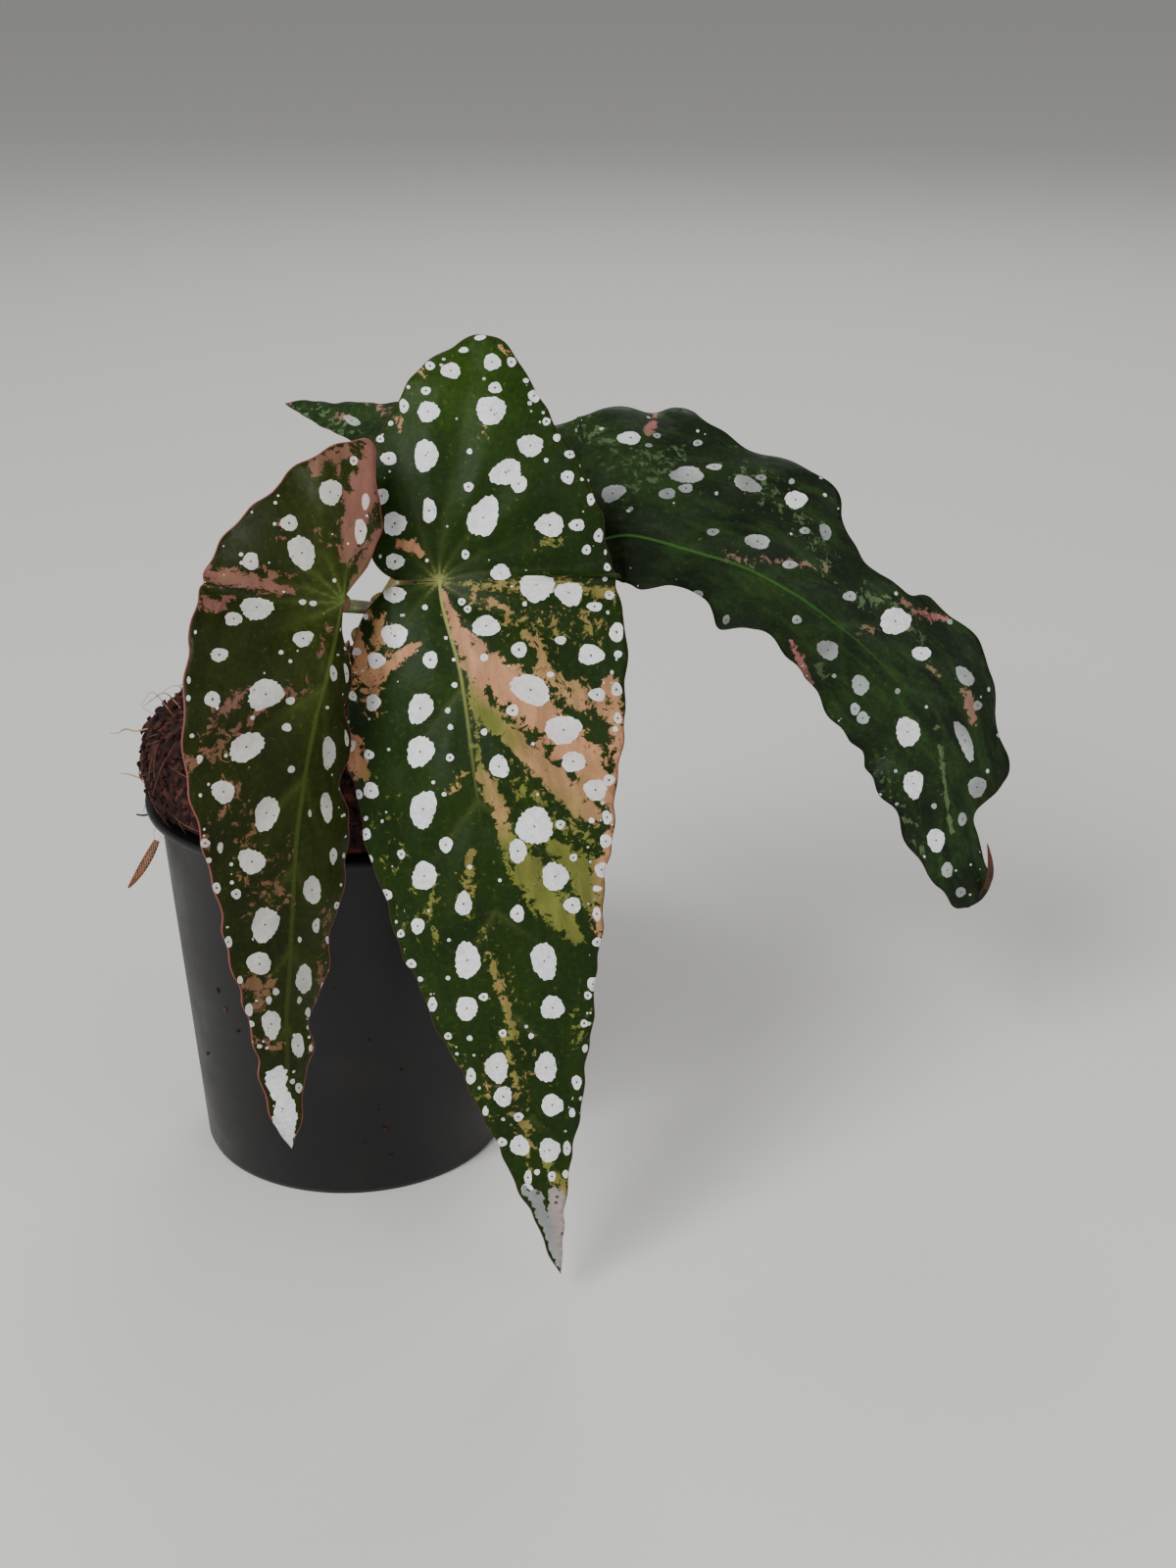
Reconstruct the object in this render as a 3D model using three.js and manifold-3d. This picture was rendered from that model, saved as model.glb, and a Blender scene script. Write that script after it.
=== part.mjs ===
// A potted polka dot begonia: four angel-wing leaves on a short cane, in a round nursery pot.
// Millimetres, +Z up. The origin is the centre of the pot's flat base, and the plant faces -Y.
import * as THREE from "three";
import { mergeVertices } from "three/addons/utils/BufferGeometryUtils.js";
import Module from "manifold-3d";

const wasm = await Module();
wasm.setup();

// ---------------------------------------------------------------- driving dimensions
const CLEARANCE = 0.3; // between pieces that touch on the real plant

const POT = {
  height: 96,
  baseRadius: 39.5,
  wallTopRadius: 45.8,
  rimRadius: 49.2,
  rimHeight: 2,
  wall: 1.4,
  floor: 1.8,
  sides: 60,
  drainCount: 6,
  drainRadius: 31,
  drainLength: 9,
  drainWidth: 5,
};

const MIX = {
  shoulderRadius: 50.4,
  topHeight: 122,
  sides: 44,
  chipRelief: 1.7,
  seed: 7,
};

const CANE = {
  footRadius: 3.8,
  tipRadius: 1.9,
  taperStart: 112, // heights between which it tapers
  taperEnd: 174,
  pointShare: 0.12, // share of its length that narrows to the growing tip
  nodeSwelling: 0.6,
  nodeSpread: 2,
  sides: 12,
  steps: 34,
};

const PETIOLE = { radius: 1.6, flare: 0.5, sides: 8, steps: 14, straightStart: 2.5, straightEnd: 4 };

const BLADE = {
  thickness: 0.8,
  midribHeight: 1.5, // how far the midrib stands out of the underside, at the stalk
  veinHeight: 0.7,
  ribWidth: 1.5,
  quilting: 1.3, // how far the blade swells between its veins
  quiltWidth: 4.5,
  dimple: 2.2, // the pit over the stalk
  dimpleWidth: 8,
  stations: 20, // side vein starts along the midrib
  ribEvery: 3,
  ringFractions: [0.08, 0.24, 0.44, 0.64, 0.82, 1],
  marginSamples: 150,
  waveReach: 13, // how far in from the margin its waves fade out
  scallopFade: 12, // length over which the scallops grow from nothing at the tip and the cleft
  midribTaper: 0.8, // share of the midrib's height that is gone at the tip
};

// Where the cane runs, from its foot in the mix to its growing tip.
const CANE_PATH = [
  [4, 2, 101], [4, 2, 110], [4, 2, 118], [4.2, 1.9, 124], [7.5, -0.5, 132], [12, -2, 142], [18, 0, 152],
  [24, 4, 162], [27.5, 6.5, 172], [29.5, 8, 181],
];
// Heights of its swollen nodes: two bare ones, then one for each leaf.
const CANE_NODE_HEIGHTS = [126, 133, 142, 152, 162];

// Each leaf is described on its own flat blade. u runs along the midrib from the stalk to the tip, and
// v across it. A row of the spine holds a point of the midrib, the direction across the blade there, how
// far the blade folds up on its -v and +v sides in degrees, and how much it arches on them in degrees
// per millimetre. broad is the side (+1 or -1) of the wider half, which carries the big basal lobe.
// The margin goes round the blade from the lobe's edge of the cleft to the tip, and back to the cleft.
const LEAVES = {
  front: {
    broad: 1,
    stalkRow: 3,
    spine: [
      [37, -20, 215, 1, 0.1, 0, 0, 0, -0.4, -0.4],
      [35, -32, 200.5, 1, 0.06, 0, 0, 0, -0.5, -0.5],
      [32, -42, 183, 1, 0.03, 0, 0, 0, -0.8, -0.6],
      [29, -47, 164, 1, 0, 0, 0, 0, -1, -0.5],
      [34, -58, 145.5, 1, 0, 0, -4, 0, -0.9, -0.5],
      [37, -67, 126, 1, 0, 0, -6, -2, -0.9, -0.5],
      [40, -74, 104.5, 1, 0.02, 0, -6, -3, -0.7, -0.6],
      [45, -79, 79, 1, 0.04, 0, -4, -3, -0.6, -0.7],
      [49, -82, 48, 1, 0.06, 0, -4, -3, -0.6, -0.8],
      [55.5, -83, 7.5, 1, 0.08, 0, -4, -3, 0, 0],
    ],
    marginToTip: [
      [-0.5, -10], [-2, -13], [-5.5, -16.5], [-12, -18.5], [-22, -20], [-31, -18], [-40, -14.5],
      [-48, -10.5], [-54, -4.5], [-57, 1.5], [-54.5, 8], [-47, 14], [-39, 19.5], [-33, 26], [-25, 31],
      [-14, 37.5], [-4, 40.5], [8, 40], [20, 38], [35, 35], [52, 31], [68, 27.5], [84, 22.5],
      [101, 17.5], [118, 13.5], [134, 8.5], [148, 4], [158, 2], [165.8, 0],
    ],
    marginFromTip: [
      [165.8, 0], [160, -2], [149, -4], [136, -7.5], [122, -11], [106, -16.5], [90, -21], [74, -24],
      [58, -27], [42, -29.5], [26, -28.5], [14, -26], [6.5, -21], [2.5, -15.5], [0.5, -10],
    ],
    slant: { broad: [50, 30], narrow: [50, 30] },
    palmate: { broad: 25, narrow: 4 },
    wave: { height: 0.9, length: 22, scallop: 0.35, scallopLength: 9 },
    petiole: { node: 133, bend: [[15, -18, 145], [24, -34, 157]] },
  },
  left: {
    broad: -1,
    stalkRow: 2,
    spine: [
      [9.5, -47, 197.5, 0.98, 0.2, 0, 0, 0, -0.5, -0.5],
      [10, -56, 182.5, 0.97, 0.25, 0, 0, 0, -0.5, -0.6],
      [10, -63, 164.5, 0.95, 0.31, 0, 0, -25, -0.4, -0.4],
      [6.5, -72, 150.5, 0.91, 0.41, 0, 2, -38, -0.3, -0.4],
      [3, -77, 137, 0.89, 0.46, 0, 4, -30, -0.3, -0.4],
      [-0.5, -80, 117.5, 0.89, 0.46, 0, 4, -22, -0.3, -0.4],
      [-3, -81, 92.5, 0.9, 0.43, 0, 2, -20, -0.3, -0.4],
      [-5.5, -80, 67.5, 0.92, 0.39, 0, 0, -18, -0.3, -0.4],
      [-6, -78, 37, 0.95, 0.3, 0, 0, -10, 0, 0],
    ],
    marginToTip: [
      [-4, 3], [-10, 6.2], [-15, 8], [-21, 8], [-25, 6.3], [-32, 7], [-35.3, 5], [-34.5, 0],
      [-31.5, -5], [-29.5, -10], [-25, -14], [-21, -17.5], [-18, -22], [-12.5, -27], [-4, -30],
      [8, -30.5], [20, -30], [33, -28.5], [44, -25], [54, -21], [66, -17], [80, -14], [92, -10],
      [104, -7.2], [116, -5.7], [126, -3.3], [132.7, 0],
    ],
    marginFromTip: [
      [132.7, 0], [124, 2.5], [116, 4.5], [108, 6.5], [101, 6.5], [95, 9], [86, 11], [76, 13],
      [68, 14.5], [60, 17], [52, 15.5], [43, 13.5], [34, 14], [26, 12.5], [19, 10], [13, 6.5],
      [8, 3.5], [4, 1.8],
    ],
    slant: { broad: [50, 30], narrow: [24, 30] },
    palmate: { broad: 19, narrow: 1 },
    wave: { height: 0.9, length: 19, scallop: 0.5, scallopLength: 10 },
    petiole: { node: 142, bend: [[11, -18, 148], [10, -38, 155]] },
  },
  right: {
    broad: 1,
    stalkRow: 2,
    spine: [
      [34.5, -14, 176, 0, 0.62, 0.78, -5, 0, -0.5, -0.5],
      [47.5, -6, 166.5, 0, 0.62, 0.78, -8, 0, -0.5, -0.5],
      [59.5, 0, 160, 0, 0.62, 0.78, -16, 0, -0.5, -0.5],
      [71.5, 0, 161, 0, 0.62, 0.78, -30, 0, -0.5, -0.4],
      [83.5, 2, 157.5, 0, 0.62, 0.78, -40, 0, -0.5, -0.4],
      [102.5, 4, 150.5, 0.25, 0.59, 0.76, -45, 0, -0.4, -0.4],
      [122.5, 5, 137.5, 0.5, 0.5, 0.7, -45, 0, -0.4, -0.4],
      [140, 5, 121, 0.72, 0.46, 0.52, -40, 0, -0.4, -0.4],
      [150.5, 4, 104.5, 0.86, 0.41, 0.3, -30, 0, -0.4, -0.4],
      [154.5, 2, 83, 0.93, 0.35, 0.1, -20, 0, -0.4, -0.4],
      [161, 0, 61, 0.95, 0.3, 0, -10, 0, 0, 0],
    ],
    marginToTip: [
      [-0.5, -6], [-3, -11], [-9, -15.5], [-18, -18], [-28, -15], [-36, -8], [-40, 2], [-38, 13],
      [-31, 22], [-22, 28.5], [-14, 32], [-7, 32.5], [0, 33], [8, 36], [16, 38], [22, 40.5], [29, 36],
      [38, 34], [47, 33.5], [56, 29.5], [64, 21.5], [73, 17], [80, 18.5], [86, 23], [96, 24],
      [106, 22], [116, 19.5], [124, 18.5], [130, 11], [136, 7], [146, 5.5], [154, 3.5], [157.6, 0],
    ],
    marginFromTip: [
      [157.6, 0], [153, -3], [146, -6], [138, -11], [130, -13], [121, -17.5], [108, -19.5],
      [95, -19.5], [83, -20], [74, -17], [64, -14], [54, -15], [47, -18], [41, -14.5], [33, -10.5],
      [24, -11.5], [14, -12], [6, -10], [0.5, -6],
    ],
    slant: { broad: [50, 30], narrow: [50, 30] },
    palmate: { broad: 22, narrow: 3 },
    wave: { height: 1.9, length: 27, scallop: 0.5, scallopLength: 12 },
    petiole: { node: 152, bend: [[36, 8, 147], [50, 11, 150]] },
  },
  back: {
    broad: 1,
    stalkRow: 1,
    spine: [
      [52.5, 12, 176.5, -0.16, -0.79, -0.59, 0, 0, -0.5, -0.5],
      [37.5, 26, 176.5, -0.16, -0.79, -0.59, 0, 0, -0.5, -0.5],
      [19, 45, 176.5, -0.16, -0.79, -0.59, 0, 0, -0.5, -0.5],
      [-0.5, 63, 176, -0.16, -0.79, -0.59, 0, 0, -0.5, -0.5],
      [-21, 80, 175.5, -0.16, -0.79, -0.59, 0, 0, 0, 0],
    ],
    marginToTip: [
      [-0.5, -5], [-3, -8], [-8, -9.5], [-13, -7.5], [-16, -3], [-16.5, 3], [-14.5, 9], [-10, 14],
      [-4, 17], [6, 18], [17, 17], [28, 14], [38, 11], [47, 8], [56, 6.2], [66, 4], [74, 1.8], [79.6, 0],
    ],
    marginFromTip: [
      [79.6, 0], [76, -1.2], [68, -2.3], [58, -3.5], [46, -5.5], [34, -8], [22, -10], [12, -10],
      [5, -8], [0.5, -5],
    ],
    slant: { broad: [50, 30], narrow: [50, 30] },
    palmate: { broad: 13, narrow: 3 },
    wave: { height: 0.6, length: 17, scallop: 0.3, scallopLength: 8 },
    petiole: { node: 162, bend: [[30, 15, 161], [36, 26, 166]] },
  },
};

// ---------------------------------------------------------------- colours and finishes
const material = (color, roughness) => new THREE.MeshStandardMaterial({ color, roughness, metalness: 0 });
const BLACK_PLASTIC = material(0x161617, 0.55);
const BARK_AND_COIR = material(0x4a2a22, 0.95);
const CANE_GREEN = material(0x6d7a3a, 0.6);
const PETIOLE_GREEN = material(0x8a9a4c, 0.55);
const LEAF_COLOURS = { front: 0x2f5a2c, left: 0x5c6626, right: 0x27462f, back: 0x33502f };

// ---------------------------------------------------------------- small tools
const radians = THREE.MathUtils.degToRad;
const mix = THREE.MathUtils.lerp;
const clamp = THREE.MathUtils.clamp;
const bell = (distance, width) => Math.exp(-((distance / width) ** 2));

function seededRandom(seed) {
  let state = seed;
  return () => {
    state = (state * 48271) % 2147483647;
    return state / 2147483647;
  };
}

function closedBody(positions, triangles) {
  const geometry = new THREE.BufferGeometry();
  geometry.setAttribute("position", new THREE.Float32BufferAttribute(positions.flat(), 3));
  geometry.setIndex(triangles.flat());
  return geometry;
}

function toSolid(geometry) {
  const bare = geometry.clone();
  bare.deleteAttribute("normal");
  bare.deleteAttribute("uv");
  const merged = mergeVertices(bare, 1e-4);
  return new wasm.Manifold(new wasm.Mesh({
    numProp: 3,
    vertProperties: new Float32Array(merged.attributes.position.array),
    triVerts: new Uint32Array(merged.index.array),
  }));
}

function toGeometry(solid) {
  const mesh = solid.getMesh();
  const geometry = new THREE.BufferGeometry();
  geometry.setAttribute("position", new THREE.BufferAttribute(new Float32Array(mesh.vertProperties), 3));
  geometry.setIndex(new THREE.BufferAttribute(new Uint32Array(mesh.triVerts), 1));
  return geometry;
}

// Rings of equal point counts, joined into one closed body with a point at each end.
function skin(rings, startPoint, endPoint) {
  const sides = rings[0].length;
  const positions = rings.flat().map((p) => p.toArray());
  const start = positions.push(startPoint.toArray()) - 1;
  const end = positions.push(endPoint.toArray()) - 1;
  const triangles = [];
  for (let i = 0; i < sides; i++) {
    const next = (i + 1) % sides;
    const last = (rings.length - 1) * sides;
    triangles.push([start, next, i], [end, last + i, last + next]);
    for (let r = 0; r + 1 < rings.length; r++) {
      const low = r * sides;
      const high = low + sides;
      triangles.push([low + i, low + next, high + next], [low + i, high + next, high + i]);
    }
  }
  return closedBody(positions, triangles);
}

// A round stem along a smooth curve, with radiusAt(fraction along it, point there).
function stem(points, sides, steps, radiusAt) {
  const curve = new THREE.CatmullRomCurve3(points);
  const frames = curve.computeFrenetFrames(steps, false);
  const rings = [];
  for (let s = 0; s <= steps; s++) {
    const centre = curve.getPointAt(s / steps);
    const radius = radiusAt(s / steps, centre);
    rings.push(Array.from({ length: sides }, (_, i) => {
      const angle = (2 * Math.PI * i) / sides;
      return centre.clone()
        .addScaledVector(frames.normals[s], radius * Math.cos(angle))
        .addScaledVector(frames.binormals[s], radius * Math.sin(angle));
    }));
  }
  return skin(rings, curve.getPointAt(0), curve.getPointAt(1));
}

// ---------------------------------------------------------------- leaf surface
// Distances along the spine, zero at the stalk.
function spineStations(leaf) {
  const at = [0];
  for (let i = 1; i < leaf.spine.length; i++) {
    const [a, b] = [leaf.spine[i - 1], leaf.spine[i]];
    at.push(at[i - 1] + Math.hypot(b[0] - a[0], b[1] - a[1], b[2] - a[2]));
  }
  return at.map((u) => u - at[leaf.stalkRow]);
}

// A smooth curve through all columns of the spine, and its slope, at u.
function spineAt(leaf, u) {
  const { stations, slopes } = leaf;
  const last = stations.length - 1;
  const end = u <= stations[0] ? 0 : u >= stations[last] ? last : -1;
  if (end >= 0) {
    const beyond = u - stations[end];
    return { value: leaf.spine[end].map((x, c) => x + slopes[end][c] * beyond), slope: slopes[end] };
  }
  const i = stations.findIndex((s) => s > u) - 1;
  const h = stations[i + 1] - stations[i];
  const t = (u - stations[i]) / h;
  const value = [];
  const slope = [];
  for (let c = 0; c < leaf.spine[i].length; c++) {
    const [a, b] = [leaf.spine[i][c], leaf.spine[i + 1][c]];
    const [sa, sb] = [slopes[i][c] * h, slopes[i + 1][c] * h];
    value.push(a * (2 * t ** 3 - 3 * t * t + 1) + sa * (t ** 3 - 2 * t * t + t)
      + b * (3 * t * t - 2 * t ** 3) + sb * (t ** 3 - t * t));
    slope.push((a * (6 * t * t - 6 * t) + sa * (3 * t * t - 4 * t + 1)
      + b * (6 * t - 6 * t * t) + sb * (3 * t * t - 2 * t)) / h);
  }
  return { value, slope };
}

// The smooth blade at (u, v): a point on it, and the direction out of its upper face.
function bladeAt(leaf, u, v) {
  const { value, slope } = spineAt(leaf, u);
  const along = new THREE.Vector3(...slope.slice(0, 3)).normalize();
  const across = new THREE.Vector3(...value.slice(3, 6));
  across.addScaledVector(along, -across.dot(along)).normalize();
  const up = new THREE.Vector3().crossVectors(along, across);
  const side = v < 0 ? -1 : 1;
  const width = Math.abs(v);
  const fold = value[v < 0 ? 6 : 7];
  const arch = value[v < 0 ? 8 : 9];
  const mean = radians(fold + (arch * width) / 2);
  const local = radians(fold + arch * width) * Math.min(1, width / 2);
  const point = new THREE.Vector3(...value.slice(0, 3))
    .addScaledVector(across, side * width * Math.cos(mean))
    .addScaledVector(up, width * Math.sin(mean));
  const normal = up.multiplyScalar(Math.cos(local)).addScaledVector(across, -side * Math.sin(local));
  return { point, normal: normal.normalize() };
}

// The margin as a fine open line of [u, v, distance along it], with its small scallops.
function marginLine(leaf) {
  const toCurve = (list) => new THREE.CatmullRomCurve3(list.map(([u, v]) => new THREE.Vector3(u, v, 0)));
  const halves = [toCurve(leaf.marginToTip), toCurve(leaf.marginFromTip)];
  const length = halves[0].getLength() + halves[1].getLength();
  const line = [];
  let before = 0;
  halves.forEach((half, index) => {
    const count = Math.round((BLADE.marginSamples * half.getLength()) / length);
    for (let i = index; i <= count; i++) {
      const point = half.getPointAt(i / count);
      const tangent = half.getTangentAt(i / count);
      const along = before + (half.getLength() * i) / count;
      const toEnd = Math.min(along, length - along, Math.abs(along - halves[0].getLength()));
      const height = leaf.wave.scallop * clamp(toEnd / BLADE.scallopFade, 0, 1);
      const scallop = height * leaf.broad * Math.sin((2 * Math.PI * along) / leaf.wave.scallopLength);
      line.push([point.x - tangent.y * scallop, point.y + tangent.x * scallop, along]);
    }
    before = half.getLength();
  });
  return line;
}

function nearestOnSegment(u, v, a, b) {
  const [du, dv] = [b[0] - a[0], b[1] - a[1]];
  const t = clamp(((u - a[0]) * du + (v - a[1]) * dv) / (du * du + dv * dv), 0, 1);
  return { t, distance: Math.hypot(u - a[0] - du * t, v - a[1] - dv * t) };
}

function nearestMargin(leaf, u, v) {
  let best = { distance: Infinity, along: 0 };
  for (let i = 0; i + 1 < leaf.margin.length; i++) {
    const [a, b] = [leaf.margin[i], leaf.margin[i + 1]];
    const { t, distance } = nearestOnSegment(u, v, a, b);
    if (distance < best.distance) best = { distance, along: mix(a[2], b[2], t) };
  }
  return best;
}

// Where a line from an origin on the midrib, at an angle from it, meets the margin.
function meetMargin(leaf, origin, angle) {
  const [du, dv] = [Math.cos(angle), Math.sin(angle) * leaf.broad];
  let best = null;
  for (let i = 0; i + 1 < leaf.margin.length; i++) {
    const [a, b] = [leaf.margin[i], leaf.margin[i + 1]];
    const [eu, ev] = [b[0] - a[0], b[1] - a[1]];
    const cross = du * ev - dv * eu;
    if (Math.abs(cross) < 1e-9) continue;
    const reach = ((a[0] - origin) * ev - a[1] * eu) / cross;
    const t = ((a[0] - origin) * dv - a[1] * du) / cross;
    if (reach > 0.01 && t >= -1e-6 && t <= 1 + 1e-6 && (!best || reach < best)) best = reach;
  }
  return [origin + du * best, dv * best];
}

// Fans of lines from the midrib to the margin, one fan for each half of the blade. The first lines of a
// half all start at the stalk, and the rest one by one along the midrib. Every third line is a vein.
function veinFans(leaf) {
  const length = leaf.marginFromTip[0][0];
  const cleft = [leaf.margin[0], leaf.margin[leaf.margin.length - 1]];
  const turn = (point) => Math.atan2(point[1] * leaf.broad, point[0]);
  const edges = { broad: turn(cleft[0]) + 2 * Math.PI, narrow: turn(cleft[1]) };
  const fans = {};
  for (const half of ["broad", "narrow"]) {
    const sign = half === "broad" ? 1 : -1;
    const [first, last] = leaf.slant[half].map(radians);
    const count = leaf.palmate[half];
    const edge = half === "broad" ? cleft[0] : cleft[1];
    const lines = [{ from: [0, 0], to: [edge[0], edge[1]], vein: false }];
    for (let i = 1; i < count; i++) {
      const to = meetMargin(leaf, 0, mix(edges[half], sign * first, i / count));
      lines.push({ from: [0, 0], to, vein: (count - i) % BLADE.ribEvery === 0 });
    }
    for (let s = 0; s < BLADE.stations; s++) {
      const u = (length * s) / BLADE.stations;
      const to = meetMargin(leaf, u, sign * mix(first, last, s / BLADE.stations));
      lines.push({ from: [u, 0], to, vein: s % BLADE.ribEvery === 0 });
    }
    fans[half] = lines;
  }
  return fans;
}

// How the blade departs from its smooth form: up between veins, down over the stalk, and its waves.
function reliefAt(leaf, u, v) {
  const length = leaf.marginFromTip[0][0];
  let nearest = { distance: Infinity, t: 0 };
  for (const line of leaf.veins) {
    const found = nearestOnSegment(u, v, line.from, line.to);
    if (found.distance < nearest.distance) nearest = found;
  }
  const edge = nearestMargin(leaf, u, v);
  const inner = clamp(edge.distance / BLADE.waveReach, 0, 1);
  const phase = (2 * Math.PI * edge.along) / leaf.wave.length;
  const wave = leaf.wave.height * (1 - inner) ** 2 * Math.sin(phase);
  const toMidrib = u < 0 ? Math.hypot(u, v) : Math.abs(v);
  const toVein = Math.min(nearest.distance, toMidrib);
  const quilt = BLADE.quilting * inner * (1 - bell(toVein, BLADE.quiltWidth));
  const dimple = BLADE.dimple * bell(Math.hypot(u, v), BLADE.dimpleWidth);
  const taper = 1 - BLADE.midribTaper * clamp(u / length, 0, 1);
  const midrib = BLADE.midribHeight * bell(toMidrib, BLADE.ribWidth) * taper;
  const rib = BLADE.veinHeight * bell(nearest.distance, BLADE.ribWidth) * (1 - nearest.t);
  return { lift: quilt + wave - dimple, thickness: BLADE.thickness + Math.max(midrib, rib) };
}

function prepareLeaf(leaf) {
  leaf.stations = spineStations(leaf);
  const last = leaf.spine.length - 1;
  leaf.slopes = leaf.spine.map((row, i) => {
    const [a, b] = [Math.max(i - 1, 0), Math.min(i + 1, last)];
    const run = leaf.stations[b] - leaf.stations[a];
    return row.map((_, c) => (leaf.spine[b][c] - leaf.spine[a][c]) / run);
  });
  leaf.margin = marginLine(leaf);
  leaf.fans = veinFans(leaf);
  leaf.veins = [...leaf.fans.broad, ...leaf.fans.narrow].filter((line) => line.vein);
}

// The blade as one closed body: an upper face, a lower face of the same triangles, and the edge between.
function leafBlade(leaf) {
  const upper = [];
  const lower = [];
  const addPoint = (u, v) => {
    const { point, normal } = bladeAt(leaf, u, v);
    const { lift, thickness } = reliefAt(leaf, u, v);
    upper.push(point.clone().addScaledVector(normal, lift).toArray());
    return lower.push(point.addScaledVector(normal, lift - thickness).toArray()) - 1;
  };
  const length = leaf.marginFromTip[0][0];
  const stationAt = (s) => (length * s) / BLADE.stations;
  const midrib = Array.from({ length: BLADE.stations }, (_, s) => addPoint(stationAt(s), 0));
  const tip = addPoint(length, 0);
  const faces = [];
  const edges = {};
  for (const half of ["broad", "narrow"]) {
    const clockwise = (half === "broad") === (leaf.broad > 0);
    const face = (a, b, c) => faces.push(clockwise ? [a, c, b] : [a, b, c]);
    const strips = leaf.fans[half].map(({ from, to }, i) => {
      const root = midrib[Math.max(0, i - leaf.palmate[half])];
      const pointOn = (f) => addPoint(mix(from[0], to[0], f), mix(from[1], to[1], f));
      return [root, ...BLADE.ringFractions.map(pointOn)];
    });
    for (let i = 0; i + 1 < strips.length; i++) {
      const [a, b] = [strips[i], strips[i + 1]];
      if (a[0] !== b[0]) face(a[0], b[1], b[0]);
      face(a[0], a[1], b[1]);
      for (let j = 1; j + 1 < a.length; j++) {
        face(a[j], a[j + 1], b[j + 1]);
        face(a[j], b[j + 1], b[j]);
      }
    }
    const final = strips[strips.length - 1];
    for (let j = 0; j + 1 < final.length; j++) face(final[j], final[j + 1], tip);
    edges[half] = [...strips[0], ...strips.slice(1).map((strip) => strip[strip.length - 1])];
  }
  const loop = [...edges.broad, tip, ...edges.narrow.slice(1).reverse()];
  const count = upper.length;
  const triangles = [];
  for (const [a, b, c] of faces) triangles.push([a, b, c], [a + count, c + count, b + count]);
  loop.forEach((a, i) => {
    const b = loop[(i + 1) % loop.length];
    const [first, second] = leaf.broad > 0 ? [a, b] : [b, a];
    triangles.push([first, second, second + count], [first, second + count, first + count]);
  });
  return closedBody([...upper, ...lower], triangles);
}

// ---------------------------------------------------------------- pot, mix, cane and stalks
function potBody() {
  const { height, baseRadius, wallTopRadius, rimRadius, rimHeight, wall, floor } = POT;
  const rimFoot = height - rimHeight;
  const profile = [
    [0, 0], [baseRadius - 1.5, 0], [baseRadius, 1.5], [wallTopRadius, rimFoot],
    [rimRadius - 0.5, rimFoot], [rimRadius, rimFoot + 0.5], [rimRadius, height - 0.6],
    [rimRadius - 0.6, height], [wallTopRadius - wall + 0.6, height], [wallTopRadius - wall, height - 0.6],
    [baseRadius - wall, floor + 1], [baseRadius - wall - 1, floor], [0, floor],
  ];
  const lathe = new THREE.LatheGeometry(profile.map(([r, z]) => new THREE.Vector2(r, z)), POT.sides);
  lathe.rotateX(Math.PI / 2);
  let body = toSolid(lathe);
  for (let i = 0; i < POT.drainCount; i++) {
    const slot = new THREE.BoxGeometry(POT.drainLength, POT.drainWidth, 4 * floor);
    slot.translate(POT.drainRadius, 0, 0);
    slot.rotateZ((2 * Math.PI * (i + 0.5)) / POT.drainCount);
    body = body.subtract(toSolid(slot));
  }
  return toGeometry(body);
}

// The pot's inner radius at a height, less the clearance.
function mixWallRadius(z) {
  const { height, baseRadius, wallTopRadius, rimHeight, wall, floor } = POT;
  const t = clamp((z - floor) / (height - rimHeight - floor), 0, 1);
  return mix(baseRadius, wallTopRadius, t) - wall - CLEARANCE - 0.2;
}

function growingMix() {
  const random = seededRandom(MIX.seed);
  const bottom = POT.floor + CLEARANCE;
  const lip = POT.height;
  const profile = [
    [mixWallRadius(bottom) - 1.5, bottom], [mixWallRadius(bottom + 2), bottom + 2],
    [mixWallRadius(lip), lip - POT.rimHeight], [mixWallRadius(lip), lip + CLEARANCE],
    [MIX.shoulderRadius - 2, lip + 2], [MIX.shoulderRadius, lip + 6], [MIX.shoulderRadius, lip + 11.5],
    [MIX.shoulderRadius - 1.6, lip + 16], [MIX.shoulderRadius - 5.5, lip + 20.5],
    [37, lip + 23.5], [27, MIX.topHeight - 1], [17, MIX.topHeight - 0.5], [8, MIX.topHeight],
  ];
  const firstLoose = 4;
  const rings = profile.map(([radius, z], ring) => Array.from({ length: MIX.sides }, (_, i) => {
    const angle = (2 * Math.PI * (i + (ring % 2) / 2)) / MIX.sides;
    const loose = ring >= firstLoose ? MIX.chipRelief : 0;
    const out = radius + loose * (random() - 0.6);
    const up = z + (ring > firstLoose ? loose * 2 * (random() - 0.5) : 0);
    return new THREE.Vector3(out * Math.cos(angle), out * Math.sin(angle), up);
  }));
  const body = skin(rings, new THREE.Vector3(0, 0, bottom), new THREE.Vector3(0, 0, MIX.topHeight));
  const [x, y, z] = CANE_PATH[0];
  const holeRadius = CANE.footRadius + CLEARANCE;
  const hole = new THREE.CylinderGeometry(holeRadius, holeRadius, 60, 16);
  hole.rotateX(Math.PI / 2);
  hole.translate(x, y, z - CLEARANCE + 30);
  return toGeometry(toSolid(body).subtract(toSolid(hole)));
}

function caneRadius(fraction, point) {
  const { footRadius, tipRadius, taperStart, taperEnd, pointShare } = CANE;
  const share = clamp((point.z - taperStart) / (taperEnd - taperStart), 0, 1);
  const swelling = CANE_NODE_HEIGHTS.reduce(
    (sum, height) => sum + CANE.nodeSwelling * bell(point.z - height, CANE.nodeSpread), 0);
  const clearOfMix = point.z < MIX.topHeight + 2 ? 0 : 1;
  const toPoint = clamp((1 - fraction) / pointShare, 0.12, 1);
  return (mix(footRadius, tipRadius, share) + swelling * clearOfMix) * toPoint;
}

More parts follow.
